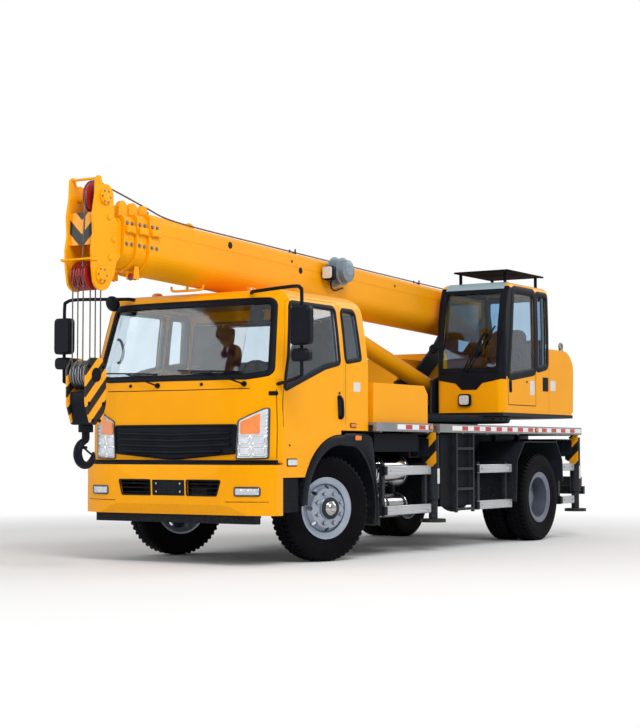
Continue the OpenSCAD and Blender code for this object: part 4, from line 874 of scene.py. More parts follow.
mirror_shells.append(turned(kerb_bowl, kerb_place, kerb_way, 32))
mirror_glass.append(turned([(4, -10), (40, -9), (66, -5), (70, -2), (62, 2)], kerb_place, kerb_way, 32))
moulding("mirror_heads", mirror_shells, stands_for=("mirrors",))
piece("mirror_faces", mirror_glass, mirror_bowl, "chassis")

# Wipers and washer jets: painted steel arms on pivots under the windscreen, with rubber blades along its
# foot. The jets and the two hinge covers of the front panel are moulded and pressed in.
def on_nose(points):
    """Places on the cab's front from (y, z, outward)."""
    points = np.asarray(points, float)
    return cab_nose(points[..., :2], points[..., 2])


wiper_parts = []
for y in (-186, 790):
    wiper_parts += [
        turned([(26, -4), (26, 8), (18, 20), (16, 34), (4, 38)], (y, 1690, 0), (1, 0, 0), 20, at=on_nose),
        hose([(y, 1690, 26), (y - 90, 1722, 34), (y - 260, 1775, 36), (y - 400, 1815, 30)], 8, 24,
             at=on_nose),
        hose([(y - 20, 1798, 14), (y - 200, 1808, 20), (y - 400, 1815, 24), (y - 600, 1822, 22),
              (y - 740, 1826, 18)],
             7, 30, at=on_nose),
        bar_along(np.linspace((y - 10, 1797), (y - 750, 1826), 20), cab_nose,
                  ((3, -2), (14, -5), (14, 5), (3, 2)))]
wiper_parts += [turned([(16, -3), (16, 8), (10, 14), (3, 16)], (y, 1692, 0), (1, 0, 0.3), 18, at=on_nose)
                for y in (330, -520)]
wiper_parts += [draped(box_outline(74, 40, 12) + (s * 1048, 1600), cab_nose, -1, 6) for s, _ in sides]
moulding("wipers", wiper_parts)

# Side lamps and arches: amber and white markers on black seats, screwed to the doors' foot, the cab and the
# arches. The arch flares are moulded black with a square rear corner; painted skirts close the doors down to
# the arch.
pale_lens = sprayed("pale_lens", (0.72, 0.74, 0.76), (0.60, 0.62, 0.64), 0.10, coat=1.0, dust=0.05,
                    splash=0.0, grain=110.0, peel=0.4, patch=24.0)


def web(low, high, face, inner, outer):
    """Sheet between two lines of (across, up) points on a face: four corners at each pair of points, joined
    along."""
    return skin(np.stack([face(low, outer), face(high, outer), face(high, inner), face(low, inner)], 1))


def fender_edge(angle):
    """Outer edge of the wheel arch as a radius about the axle: round in front, then under a level top and
    before a rear edge that stands almost upright, the corner between them rounded by adding the two radii's
    inverse sixteenth powers."""
    level = 725 / np.maximum(np.sin(angle), 0.05)
    back = 721 / np.maximum(0.165 * np.sin(angle) - np.cos(angle), 0.05)
    square = (level ** -16.0 + back ** -16.0) ** (-1 / 16)
    share = np.clip((np.degrees(angle) - 91.5) / 7, 0, 1)
    return 704 + (square - 704) * share * share * (3 - 2 * share)


bow = np.radians(np.linspace(91.2, 32.6, 30))
arch_line = np.stack([712 * np.cos(bow), wheel_radius + 712 * np.sin(bow)], -1)
sweep = np.radians(np.linspace(4, 195, 120))[:, None]
lip = np.array([(0, 1116), (0.02, 1127), (0.08, 1133), (0.45, 1138), (0.88, 1135), (0.99, 1129), (1, 1116)])
flare_reach = fender_edge(sweep)
flare_inside = np.minimum(np.interp(np.degrees(sweep), [100, 128], [606, 686]), flare_reach - 30)
flare_radius = flare_inside + lip[:, 0] * (flare_reach - flare_inside)
markers, marker_seats = [], []
for s, name in sides:
    face, door = cab_side(s), f"door_{name}"
    skirt = web(arch_line, np.stack([arch_line[:, 0], np.full(30, 1272.0)], -1), face, -16, -0.5)
    piece(f"{door}_skirt", [skirt], crane_paint, door)
    moulding(f"{door}_lamp_seat", [draped(box_outline(176, 74, 16) + (862, 962), face, -1, 4),
                                   draped(circle(11, 18) + (900, 1120), face, -1, 5)], door)
    piece(f"{door}_lamp", [draped(box_outline(150, 54, 12) + (862, 962), face, 3, 12)], pale_lens, door)
    piece(f"cab_label_{name}", [draped(box_outline(130, 92, 8) + (-312, 1700), face, -1, 1.2, edge=0.4)],
          label_sheet, "chassis")
    flare = np.stack([flare_radius * np.cos(sweep), np.broadcast_to(s * lip[:, 1], flare_radius.shape),
                      wheel_radius + flare_radius * np.sin(sweep)], -1)
    moulding(f"fender_flare_{name}", [skin(from_axle(flare))])
    marker_seats.append(draped(box_outline(120, 46, 14) + (-240, 1320), face, -1, 5))
    markers.append(draped(box_outline(104, 32, 12) + (-240, 1320), face, 4, 14))
    markers.append(plate(box_outline(110, 46, 12), (-300, s * 1136, 1196), (-s, 0, 0), (0, 0, 1), 14, 3))
piece("cab_side_lamps", markers, amber_lens, "chassis")
moulding("cab_lamp_seats", marker_seats)

# Truck cab inside: two sprung seats of dark woven cloth over moulded foam, on moulded bases bolted to the
# floor. Felt linings and folded window trims are clipped to the walls; an inside mirror and dashboard
# fittings are screwed on.
seat_cloth = sprayed("seat_cloth", (0.012, 0.022, 0.042), (0.008, 0.015, 0.028), 0.85, dust=0.08, splash=0.0,
                     grain=900.0, peel=0.6, patch=30.0)
lining_felt = sprayed("lining_felt", (0.050, 0.075, 0.115), (0.040, 0.060, 0.095), 0.88, dust=0.05,
                      splash=0.0, grain=1200.0, peel=0.5, patch=6.0)


def cushion(low, high, place, lean=0.0, channels=0):
    """Upholstered pad between two corners: a squared-off ellipsoid, its broad face dipped along sewn
    channels, then leaned back about the Y axis and carried to its place."""
    low, high = np.asarray(low, float), np.asarray(high, float)
    half, middle = (high - low) / 2, (high + low) / 2
    rise = np.linspace(-math.pi / 2 + 0.02, math.pi / 2 - 0.02, 25)[:, None]
    turn = np.linspace(0, 2 * math.pi, 48, endpoint=False)[None]
    soft = lambda wave, power: np.sign(wave) * np.abs(wave) ** power
    wide = soft(np.cos(rise), 0.28)
    shape = np.stack([wide * soft(np.cos(turn), 0.30), wide * soft(np.sin(turn), 0.30),
                      np.broadcast_to(soft(np.sin(rise), 0.42), (25, 48))], -1) * half
    if channels:
        crest = np.abs(np.cos(shape[..., 1] / half[1] * math.pi * channels / 2))
        face = 0 if half[0] < half[2] else 2
        broad = np.sign(shape[..., face]) * (np.abs(shape[..., face]) > half[face] * 0.6)
        shape[..., face] -= 7 * np.exp(-(crest / 0.16) ** 2) * broad
    x, y, z = np.moveaxis(shape + middle, -1, 0)
    c, q = math.cos(math.radians(lean)), math.sin(math.radians(lean))
    return skin(from_axle(np.stack([x * c - z * q, y, x * q + z * c], -1) + np.asarray(place, float)))


def rod(start, end, radius, around=16, edge=2, at=from_axle):
    """Straight round bar with broken edges."""
    start, end = at(start), at(end)
    ahead = (end - start) / np.linalg.norm(end - start)
    path = np.array([start, start + ahead * edge / 1000, end - ahead * edge / 1000, end])
    up = (0, 0, 1) if abs(ahead[2]) < 0.9 else (1, 0, 0)
    return skin(carried(path, circle(radius / 1000, around), up,
                        [1 - edge / radius, 1, 1, 1 - edge / radius]))


rear_panels = ([(-1030, 1340), (1030, 1340), (1030, 1962), (-1030, 1962)],
               [(-960, 2398), (960, 2398), (940, 2490), (-940, 2490)],
               [(620, 1966), (1030, 1966), (985, 2394), (620, 2394)],
               [(-1030, 1966), (-620, 1966), (-620, 2394), (-985, 2394)])
cant_rail = [(-460, 2486), (740, 2486), (720, 2516), (-450, 2516)]
door_panel = [(30, 1420), (560, 1420), (880, 1640), (290, 1845), (30, 1890)]
lining = [draped(shape, cab_rear, -80, -66, edge=3) for shape in rear_panels]
lining.append(block((-470, -960, 2524), (700, 960, 2534), 3))
lining += [draped(cant_rail, cab_side(s), -60, -51, edge=3) for s, _ in sides]
lining += [inner_trim(screen_line, cab_nose, 26, 50), inner_trim(rear_line, cab_rear, 16, 70)]
lining += [inner_trim(side_line, cab_side(s), 60, 50) for s, _ in sides]
piece("cab_lining", lining, lining_felt, "chassis")
for s, name in sides:
    face = cab_side(s)
    piece(f"door_{name}_lining", [draped(door_panel, face, -60, -51, edge=3),
                                  inner_trim(door_line, face, 22, 50)],
          lining_felt, f"door_{name}")
seat_bases, seat_posts = [], []
for y, name in ((560, "driver"), (-560, "passenger")):
    pads = [cushion((-330, -250, 165), (230, 250, 300), (0, y, 1318), channels=4),
            cushion((-10, -240, -15), (120, 240, 560), (-330, y, 1618), 10, 4),
            cushion((10, -130, 552), (100, 130, 740), (-330, y, 1618), 10)]
    seat = piece(f"{name}_seat", pads, seat_cloth, "chassis", ("cab_seats",), crease=80)
    seat_bases.append(block((-300, y - 180, 1318), (180, y + 180, 1488), 20))
    seat_posts += [rod((-345, y + dy, 2160), (-362, y + dy, 2200), 8) for dy in (-60, 60)]
moulding("seat_bases", seat_bases + seat_posts)
moulding("cab_inside_fittings", [
    plate(circle(85, 28), (905, 760, 2345), (0, 1, 0), (0, 0, 1), 20, 6),
    rod((915, 760, 2345), (930, 760, 2480), 8),
    block((985, -380, 1690), (1070, -60, 1720), 10), block((905, 400, 1690), (1020, 730, 1768), 30),
    hose([(860, -960, 2180), (835, -935, 2160), (800, -930, 2060), (835, -935, 1960), (860, -960, 1940)], 14,
         30, (0, 1, 0))])

# Window glass: curved laminated windscreens and toughened side panes with a faint blue-green tint. They are
# held by the rubber seals; the operator's panes are tinted deeper, and a thin film of dust dulls them all.
def tinted_glass(name, clear_film, dull_film):
    """Clear pane: light goes through tinted, and a shadow ray passes straight through so that the cab inside
    is lit."""
    made, tree, bsdf = opened(bpy.data.materials.new(name))
    film = noise(tree, located(tree), 3.0, 6.0)
    feed(tree, bsdf, {"Base Color": between(tree, ramp(tree, film, 0.4, 0.7), (*clear_film, 1),
                                            (*dull_film, 1)),
                      "Roughness": ramp(tree, film, 0.45, 0.75, 0.0, 0.05)})
    see_through(tree, bsdf, 1.45, (0.72, 0.80, 0.85))
    return made


coat(tinted_glass("tinted_glass", (0.80, 0.88, 0.93), (0.74, 0.83, 0.89)), "cab_glass", "door_left_glass",
     "door_right_glass", "op_door_glass")
coat(tinted_glass("blue_glass", (0.44, 0.62, 0.78), (0.38, 0.55, 0.71)), "op_cab_glass")

# Slewing platform, tail housing and winch: welded plate, the platform dark and the housing golden yellow. The
# housing's lids close on thin seams; a bolted guard covers the slewing ring, and a lifting eye stands on the
# tail.
coat(chassis_paint, "turntable", "winch")
coat(crane_paint, "tail_housing", "op_cab_body", "op_door", "luff_barrel", "boom_base", "boom_2", "boom_3",
     "boom_4")
coat(sprayed("chromed_rod", (0.70, 0.70, 0.71), (0.66, 0.66, 0.67), 0.10, metal=1.0, dust=0.1), "luff_rod")
sheave_red = sprayed("sheave_red", (0.36, 0.012, 0.010), (0.26, 0.010, 0.010), 0.32, coat=0.3, dust=0.15,
                     grain=200.0, peel=0.08, patch=10.0)
slew_x, guard_radius, tail_radius, eye_x, eye_y = -3800, 1000, 2040, -5330, 1085
guard_ring = [(640, 1398), (985, 1398), (996, 1404), (1000, 1414), (1000, 1462), (980, 1476), (640, 1479)]
slew_guard = [turned(guard_ring, (slew_x, 0, 0), (0, 0, 1), 96, wrapped=True)]
for a in np.arange(36) * math.pi / 18:
    way = np.array((math.cos(a), math.sin(a), 0))
    slew_guard += hex_bolt(from_axle(guard_radius * way + (slew_x, 0, 1438)), way, 0.020, 0.010)
piece("slew_ring_guard", slew_guard, chassis_paint, "turret")


def on_tail(flat, out):
    """Point on the round tail from its angle in degrees behind the slewing centre and its height: radius plus
    out."""
    angle, z = np.radians(flat[..., 0]), flat[..., 1]
    r = tail_radius + out
    return from_axle(np.stack([slew_x - r * np.cos(angle), r * np.sin(angle), z], -1))


tail_seams = [slit([(a, 1560), (a, 1800), (a, 2040)], on_tail, 0.2, 0.8) for a in (-26, -3, 3, 26)]
tail_seams += [slit(level_line(reach, z, 9), on_tail, 6, 0.8) for z in (1590, 2030)
               for reach in ((-26, -3), (3, 26))]
piece("tail_seams", tail_seams, seal_rubber, "turret")
turn = np.linspace(0, 2 * math.pi, 28, endpoint=False)
outward = np.stack([np.cos(turn), np.zeros(28), np.sin(turn)], -1)
section = circle(14, 12)
eye_ring = (40 * outward + (eye_x, eye_y, 2366))[:, None] + section[:, :1] * outward[:, None]
eye = [turned([(58, -8), (58, 10), (34, 18), (26, 44)], (eye_x, eye_y, 2290), (0, 0, 1), 24),
       skin(from_axle(eye_ring + section[:, 1:] * np.array((0, 1, 0))), wrapped=True)]
piece("tail_eye", eye, nut_steel, "turret")

# Operator's cab: folded steel frame in golden yellow, wide black seals, toughened glass and a sliding side
# pane. Front corner posts are blacked out; a wiper, work lamp, mirror, door pull and vents are screwed on.
op_middle, op_corner = 765, 90


def op_lean(z):
    """Front line of the operator's cab in profile: how far forward it stands at each height."""
    return np.interp(z, [1510, 1910, 2150, 2480, 2820, 2961, 2991, 3015],
                     [-3444, -3440, -3454, -3490, -3560, -3612, -3632, -3659])


def op_front(flat, out):
    """Front of the operator's cab from its (y, z): the further back of a leaning line and the corners'
    circles in plan."""
    y, z = flat[..., 0], flat[..., 1]
    d = np.clip(np.abs(y - op_middle) - 345, 0, op_corner - 0.1)
    return from_axle(np.stack([np.minimum(op_lean(z), -3530 + np.sqrt(op_corner ** 2 - d ** 2)) + out, y, z],
                              -1))


def op_wall(side):
    """Face of one side of the operator's cab from its (x, z): upright, then slightly drawn in towards the
    roof."""
    def face(flat, out):
        x, z = flat[..., 0], flat[..., 1]
        return from_axle(np.stack([x, op_middle + side * (np.interp(z, [2500, 2976], [435, 424]) + out), z],
                                  -1))
    return face


def corner_sheet(middle, side, low, high):
    """Black sheet round one front corner post: a quarter circle in plan, cut off by the leaning front, two
    skins thick."""
    z = np.linspace(low, high, 40)[:, None]
    a = np.linspace(0, math.pi / 2, 14)[None]
    skins = [np.stack([np.minimum(op_lean(z) + r - op_corner, -3530 + r * np.cos(a)),
                       middle + side * r * np.sin(a) + 0 * z, z + 0 * a], -1) for r in (93, 88)]
    return skin(from_axle(np.concatenate([skins[0], skins[1][:, ::-1]], 1)))


def on_op_front(points):
    """Places on the front of the operator's cab from (y, z, outward)."""
    points = np.asarray(points, float)
    return op_front(points[..., :2], points[..., 2])


op_left, op_right, op_back = op_wall(1), op_wall(-1), rear_wall(-4710)
front_pane = softened(corners_of(375, 1155, 2000, 2926), 40, 5)
door_pane = softened([(-4295, 2035), (-3618, 1950), (-3758, 2925), (-4295, 2925)], 40, 5)
rear_pane = softened([(-4650, 2100), (-4390, 2055), (-4390, 2925), (-4650, 2925)], 35, 5)
inner_pane = softened([(-4650, 2250), (-3640, 2250), (-3720, 2925), (-4650, 2925)], 40, 5)
back_pane = softened(corners_of(410, 1120, 2400, 2900), 40, 5)
op_seals = [gasket(front_pane, op_front, 62, 8, shift=-12), gasket(rear_pane, op_left, 74, 8, shift=-20),
            gasket(inner_pane, op_right, 50, 8, shift=-10), gasket(back_pane, op_back, 50, 8, shift=-10),
            slit([(-4500, 2090), (-4500, 2450), (-4500, 2920)], op_left, 24, 3)]
piece("op_window_seals", op_seals, seal_rubber, "turret")
piece("op_door_seal", [gasket(door_pane, op_left, 92, 9, shift=-28)], seal_rubber, "operator_door")
moulding("op_door_latch", [
    draped(softened([(-3680, 1745), (-3610, 1745), (-3600, 1885), (-3670, 1885)], 18), op_left, -1, 6),
    draped(softened([(-3660, 1765), (-3628, 1765), (-3620, 1862), (-3652, 1862)], 12), op_left, 5, 14),
    draped(circle(14, 18) + (-4085, 1880), op_left, -1, 6)], "operator_door")
post_z = np.linspace(1930, 2972, 30)
post_back = np.stack([np.interp(post_z, [1950, 2290, 2962], [-3574, -3625, -3728]), post_z], -1)
post_front = np.stack([np.minimum(op_lean(post_z), -3529), post_z], -1)
sill_band = [(372, 1890), (592, 1852), (668, 1775), (862, 1775), (938, 1852), (1158, 1890), (1158, 2030),
             (372, 2030)]
op_fittings = [corner_sheet(1110, 1, 1895, 2985), corner_sheet(420, -1, 1895, 2985),
               web(post_back, post_front, op_left, -3, 3.5),
               draped(softened(sill_band, 10, 2), op_front, -6, 6),
               web(level_line((372, 1158), 2905, 20), level_line((372, 1158), 2942, 20), op_front, -3, 4),
               draped(box_outline(158, 142, 34) + (716, 1656), op_front, -1, 40, edge=8),
               draped(box_outline(150, 168, 14) + (-4610, 1868), op_left, -1, 5)]
op_fittings += [slit([(-4545, 1808 + 20 * k), (-4675, 1808 + 20 * k)], op_left, 9, 9) for k in range(7)]
op_fittings.append(turned([(24, -4), (24, 10), (16, 20), (4, 24)], (712, 1955, 5), (1, 0, 0.2), 20,
                          at=on_op_front))
op_fittings += [hose(points, radius, count, (1, 0, 0), at=on_op_front) for points, radius, count in (
    ([(712, 1955, 20), (850, 2200, 34), (968, 2430, 30)], 8, 20),
    ([(690, 1985, 18), (830, 2230, 26), (960, 2440, 24)], 6, 20),
    ([(846, 2150, 12), (965, 2330, 22), (1085, 2512, 12)], 10, 24))]
op_fittings.append(hose([(-3540, 334, 2240), (-3500, 316, 2262), (-3470, 292, 2267)], 9, 16))
op_fittings.append(turned([(40, -12), (54, -8), (58, 0), (54, 10), (36, 18), (4, 20)], (-3462, 286, 2267),
                          (1, 0, 0), 28))
moulding("op_cab_fittings", op_fittings, "turret")
screen_top = sprayed("screen_top", (0.30, 0.42, 0.48), (0.26, 0.38, 0.45), 0.10, coat=0.6, dust=0.05,
                     splash=0.0, peel=0.01)
bend = np.radians(np.linspace(16, 93, 16))
bend, reach = np.append(bend, bend[::-1]), np.repeat((136, 127), 16)
crown = np.stack(np.broadcast_arrays(-3730 + reach * np.cos(bend), np.linspace(388, 1142, 24)[:, None],
                                     2906 + reach * np.sin(bend)), -1)
piece("op_screen_top", [skin(from_axle(crown))], screen_top, "turret")
piece("op_work_lamp", [draped(box_outline(124, 108, 30) + (716, 1656), op_front, 38, 46, edge=3)], pale_lens,
      "turret")
for name, width, height, place, body in (("op_door_label", 120, 170, (-4235, 1815), "operator_door"),
                                         ("tail_label", 150, 120, (-4830, 1857), "turret")):
    piece(name, [draped(box_outline(width, height, 8) + place, op_left, -1, 1.2, edge=0.4)], label_sheet,
          body)
op_lines = [slit(points, op_left, 8, 0.6) for points in (
    [(-4336, 1610), (-4336, 2200), (-4336, 2960)],
    [(-3590, 1606), (-3580, 1780), (-3571, 1950), (-3622, 2290), (-3725, 2962)],
    [(-4336, 1602), (-3950, 1602), (-3590, 1602)])]
piece("op_shut_lines", op_lines, seal_rubber, "turret")
lining = [draped(shape, face, low, high, edge=3) for shape, face, low, high in (
    (corners_of(-4665, -3650, 1565, 2225), op_right, -50, -41),
    (corners_of(385, 1145, 1565, 2375), op_back, -50, -41),
    ([(-4665, 1565), (-4380, 1565), (-4380, 2030), (-4665, 2075)], op_left, -50, -41),
    ([(400, 1570), (1130, 1570), (1130, 1860), (765, 1770), (400, 1860)], op_front, -44, -36))]
lining.append(block((-4660, 385, 2984), (-3760, 1145, 2994), 3))
piece("op_cab_lining", lining, lining_felt, "turret")
door_panel = [(-4290, 1650), (-3650, 1650), (-3650, 1915), (-4290, 1990)]
piece("op_door_lining", [draped(door_panel, op_left, -50, -41, edge=3)], lining_felt, "operator_door")
front_opening = [(375, 1930), (765, 1810), (1155, 1930), (1155, 2926), (375, 2926)]
moulding("op_window_trims", [
    inner_trim(front_opening, op_front, 30, 40), inner_trim(rear_pane, op_left, 38, 40),
    inner_trim(inner_pane, op_right, 55, 40), inner_trim(back_pane, op_back, 55, 40)], "turret")
moulding("op_door_trim", [inner_trim(door_pane, op_left, 38, 40)], "operator_door")
pads = [cushion((-210, -230, 295), (250, 230, 420), (-4270, op_middle, 1550), channels=4),
        cushion((-10, -220, -15), (110, 220, 560), (-4480, op_middle, 1970), 10, 4)]
op_chair = piece("operator_seat", pads, seat_cloth, "turret", ("op_seat",), crease=80)
consoles = [block((-4450, 595, 1550), (-4070, 935, 1850), 30)]
lever_knob = [(4, -20), (18, -12), (22, 4), (16, 20), (4, 26)]
for y in (465, 1065):
    consoles.append(block((-4330, y - 50, 1550), (-4010, y + 50, 2110), 25))
    for x in (-4080, -4150):
        consoles += [rod((x, y, 2105), (x + 15, y, 2190), 7),
                     turned(lever_knob, (x + 18, y, 2200), (0, 0, 1), 18)]
consoles.append(block((-3700, 450, 1700), (-3580, 700, 1980), 20))
moulding("op_controls", consoles, "turret")
guard = [block((-4620, 480 + 46 * k, 3160), (-3620, 492 + 46 * k, 3176), 3) for k in range(16)]
guard += [block((x - 20, 480, 3162), (x + 20, 1180, 3178), 3) for x in (-4600, -4120, -3640)]
guard += [block((-4620, y - 15, 3158), (-3620, y + 15, 3178), 3) for y in (494, 1166)]
guard += [block((x - 15, y - 15, 3034), (x + 15, y + 15, 3162), 3) for x in (-4560, -3720)
          for y in (520, 1100)]
guard_black = sprayed("guard_black", (0.0035, 0.0035, 0.004), (0.003, 0.003, 0.0035), 0.7, dust=0.04,
                      splash=0.0, shine=0.08)
piece("roof_guard_bars", guard, guard_black, "turret", ("roof_guard",))

# Boom: four nested sections of folded high-strength plate, U-shaped below and welded along the sides, golden
# yellow. Collars carry wear pads held by bolts; a cable reel, a work lamp and a hose hanger are bolted to the
# base section.
boom_tilt, pivot_x, pivot_z = math.radians(2), -4950, 2620
along_boom = np.array((math.cos(boom_tilt), 0, math.sin(boom_tilt)))
above_boom = np.array((-along_boom[2], 0, along_boom[0]))


def on_boom(points):
    """Boom's own millimetres, X along it from its pivot, turned up to its parked tilt and carried to the
    pivot."""
    x, y, z = np.moveaxis(np.asarray(points, float), -1, 0)
    c, s = along_boom[0], along_boom[2]
    return from_axle(np.stack([pivot_x + x * c - z * s, y, pivot_z + x * s + z * c], -1))


def boom_wall(side):
    """Flat side wall of the base section from (along, up)."""
    def face(flat, out):
        return on_boom(np.stack([flat[..., 0], np.full_like(flat[..., 0], side * (220 + out)), flat[..., 1]],
                                -1))
    return face


seams, plugs = [], []
for s, _ in sides:
    seams.append(slit([(120, 205), (3400, 205), (6690, 205)], boom_wall(s), 9, 2.5))
    plugs += [draped(circle(r, count) + (x, z), boom_wall(s), -1, 4) for r, count, x, z in (
        (34, 24, 5553, 262), (34, 24, 4283, 175), (15, 18, 2300, 250), (15, 18, 4450, 250))]
piece("boom_side_welds", seams, crane_paint, "boom")
moulding("boom_plugs", plugs, "boom")
lobe = softened([(8, -34), (60, -26), (84, -26), (136, -34), (136, 30), (96, 44), (72, 30), (48, 44),
                 (8, 30)], 14)
for body, x, half in (("boom", 6706, 243), ("boom_2", 6856, 217), ("boom_3", 7006, 191)):
    pad_bolts = [shell for s, _ in sides for z in (250, 60) for dx in (36, 108)
                 for shell in hex_bolt(on_boom((x + dx, s * half, z)), (0, s, 0), 0.026, 0.014)]
    piece(f"{body}_collar_bolts", pad_bolts, nut_steel, body)
    arms = [plate(lobe, (x, y, 190), along_boom, above_boom, 36, 6, on_boom) for y in (half + 34, 2 - half)]
    piece(f"{body}_collar_arms", arms, crane_paint, body)
reel_grey = sprayed("reel_grey", (0.24, 0.30, 0.35), (0.19, 0.24, 0.29), 0.42, metal=0.2, dust=0.15,
                    splash=0.0, grain=220.0, peel=0.06, patch=6.0, shine=0.3)
reel_place = (3640, 240, 240)
reel_drum = [(20, 0), (160, 2), (160, 12), (128, 16), (126, 96), (148, 100), (148, 110), (122, 114),
             (118, 176), (104, 186), (60, 188), (54, 196), (8, 197)]
reel = [turned(reel_drum, reel_place, (0, 1, 0), 48, at=on_boom)]
reel += [turned([(126, h), (134, h + 4), (134, h + 8), (126, h + 12)], reel_place, (0, 1, 0), 40, at=on_boom)
         for h in range(18, 93, 15)]
piece("cable_reel", reel, reel_grey, "boom")
moulding("boom_lamp_box", [
    plate(box_outline(140, 150, 30), (3812, 310, 198), (0, 1, 0), above_boom, 90, 20, on_boom),
    block((3820, 218, 180), (3880, 260, 216), 6, on_boom),
    block((3600, 218, 214), (3680, 245, 274), 6, on_boom),
    hose([(3800, 300, 150), (3790, 290, 60), (3640, 245, 40), (3450, 230, 90)], 8, 30, (0, 1, 0),
         at=on_boom)], "boom")
lamp_glass = plate(box_outline(115, 125, 25), (3900, 310, 198), (0, 1, 0), above_boom, 12, 4, on_boom)
piece("boom_lamp_lens", [lamp_glass], pale_lens, "boom")
hanger_x = 5940
hanger_bar = [(-190, -172), (-185, -206), (-150, -218), (0, -220), (150, -218), (185, -206), (190, -172)]
hanger = [hose([(hanger_x, 0, z) for z in (-165, -190, -216)], 14, 12, (1, 0, 0), at=on_boom),
          hose([(hanger_x, y, z) for y, z in hanger_bar], 12, 40, (1, 0, 0), at=on_boom)]
piece("hose_hanger", hanger, crane_paint, "boom")
roller_x = 6928
roller_half = [(12, 90), (30, 90), (34, 97), (30, 106), (28, 123), (30, 140), (34, 149), (30, 156), (12, 156)]
roller = [turned(roller_half, (roller_x, 0, -214), (0, s, 0), 28, at=on_boom) for s, _ in sides]
piece("boom_roller", roller, sheave_red, "boom_2")
arm = softened([(-40, 0), (40, 0), (30, 120), (-30, 120)], 14)
roller_arms = [plate(arm, (roller_x, y, -240), along_boom, above_boom, 10, at=on_boom)
               for y in (169, 87, -77, -159)]
piece("roller_arms", roller_arms, crane_paint, "boom_2")
bar_start, bar_end = (5900, -20, 392), (6640, -20, 392)
bar_cap = [(30, -14), (46, -10), (50, 0), (50, 24), (44, 30), (20, 32)]
stowed = [rod(bar_start, bar_end, 34, 24, 4, on_boom), turned(bar_cap, bar_start, along_boom, 28, at=on_boom)]
stowed += [block((x - 30, -64, 338), (x + 30, 24, 374), 6, on_boom) for x in (6020, 6480)]
piece("stowed_bar", stowed, crane_paint, "boom")

# Rope: six-strand steel wire rope, lightly greased. It leaves the winch, lies along the boom and goes over
# the head. Small welded guides with a roller bar keep it on the base section's top.
rope_steel = sprayed("rope_steel", (0.16, 0.15, 0.14), (0.10, 0.095, 0.09), 0.38, metal=0.85, dust=0.2,
                     splash=0.0, grain=900.0, peel=0.5, patch=20.0)


def wire_rope(points, radius, count, lay=0.09):
    """Rope along a curve: a round section whose radius swells at six strands, which turn once in every
    lay."""
    path = eased(points, count)
    run = np.concatenate([[0], np.cumsum(np.linalg.norm(np.diff(path, axis=0), axis=1))])
    turn = np.linspace(0, 2 * math.pi, 12, endpoint=False)
    swell = radius * (0.90 + 0.10 * np.abs(np.cos(3 * (turn - run[:, None] / lay * 2 * math.pi))))
    ahead = np.gradient(path, axis=0)
    ahead /= np.linalg.norm(ahead, axis=1, keepdims=True)
    side = np.cross(ahead, (0, 1, 0))
    side /= np.linalg.norm(side, axis=1, keepdims=True)
    ring = np.cos(turn)[:, None] * side[:, None] + np.sin(turn)[:, None] * np.cross(side, ahead)[:, None]
    return skin(path[:, None] + swell[..., None] * ring)


rope_y = 60
top_run = [(200, rope_y, 400), (2500, rope_y, 392), (4700, rope_y, 392), (6200, rope_y, 400),
           (6712, rope_y, 466)]
piece("boom_top_rope", [wire_rope(on_boom(top_run), 0.008, 360)], rope_steel, "boom")
guides = []
for x in (1500, 4200, 6700):
    guides += [block((x - 12, y, 340), (x + 12, y + 10, 420), 3, on_boom) for y in (20, 90)]
    guides.append(rod((x, 20, 372), (x, 100, 372), 12, at=on_boom))
piece("rope_guides", guides, chassis_paint, "boom")

# Boom head: two thick side plates with welded bosses round the sheave pins and a striped front plate between
# them. Sheaves are cast, turned and painted dark red, with round-bottomed grooves; keeper pins hold the rope
# in.
def sheave_shell(place, radius, w=22):
    """Rope sheave of half-width w: a turned profile with a hub, a thin web, a rim and a half-round groove."""
    profile = [(36, -w), (58, -w), (60, 10 - w), (radius - 44, 12 - w), (radius - 40, -w), (radius, -w),
               (radius, -14)]
    profile += [(radius - 18 + 10 * (1 - math.sin(a)), -10 * math.cos(a)) for a in np.linspace(0, math.pi, 9)]
    profile += [(r, -y) for r, y in profile[6::-1]]
    return lathe(np.array(profile) / 1000, place, (0, 1, 0), 48, wrapped=True)


low_x, low_z, top_x, top_z = 7418, -260, 7396, 440
rope_lanes = (-60, 0, 60)
head_wheels = [sheave_shell(on_boom((low_x, y, low_z)), 130) for y in rope_lanes]
head_wheels.append(sheave_shell(on_boom((top_x, rope_y, top_z)), 158))
piece("head_sheaves_turned", head_wheels, sheave_red, "boom_4", ("head_sheaves",))
bosses, head_bolts = [], []
for s, _ in sides:
    for x, z, r, ring in ((low_x, low_z, 74, 58), (top_x, top_z, 70, 56)):
        bosses.append(turned([(r, 0), (r, 14), (r - 8, 20), (46, 20), (44, 26), (4, 27)], (x, s * 160, z),
                             (0, s, 0), at=on_boom))
        for a in np.arange(6) * math.pi / 3:
            spot = on_boom((x + ring * math.cos(a), s * 180, z + ring * math.sin(a)))
            head_bolts += hex_bolt(spot, (0, s, 0), 0.014, 0.007)
    bosses += [turned([(26, 0), (26, 8), (20, 12), (4, 12)], (x, s * 160, z), (0, s, 0), 22, at=on_boom)
               for x, z in ((7260, 80), (7300, -90), (7330, 270))]
piece("head_bosses", bosses, crane_paint, "boom_4")
piece("head_bolts", head_bolts, nut_steel, "boom_4")
keepers = [rod((7560, -186, -130), (7560, 170, -130), 10, at=on_boom)]
keepers += [block((7480, s * 166 - 6, -142), (7570, s * 166 + 6, -118), 3, on_boom) for s, _ in sides]
piece("rope_keepers", keepers, crane_paint, "boom_4")
front_sheet = plate(box_outline(276, 290, 10), (7502.2, 0, 150), (0, 1, 0), above_boom, 3, 0.8, on_boom)
piece("head_chevron", [front_sheet], hazard("head_stripes", True, 0.25, 0.232), "boom_4")
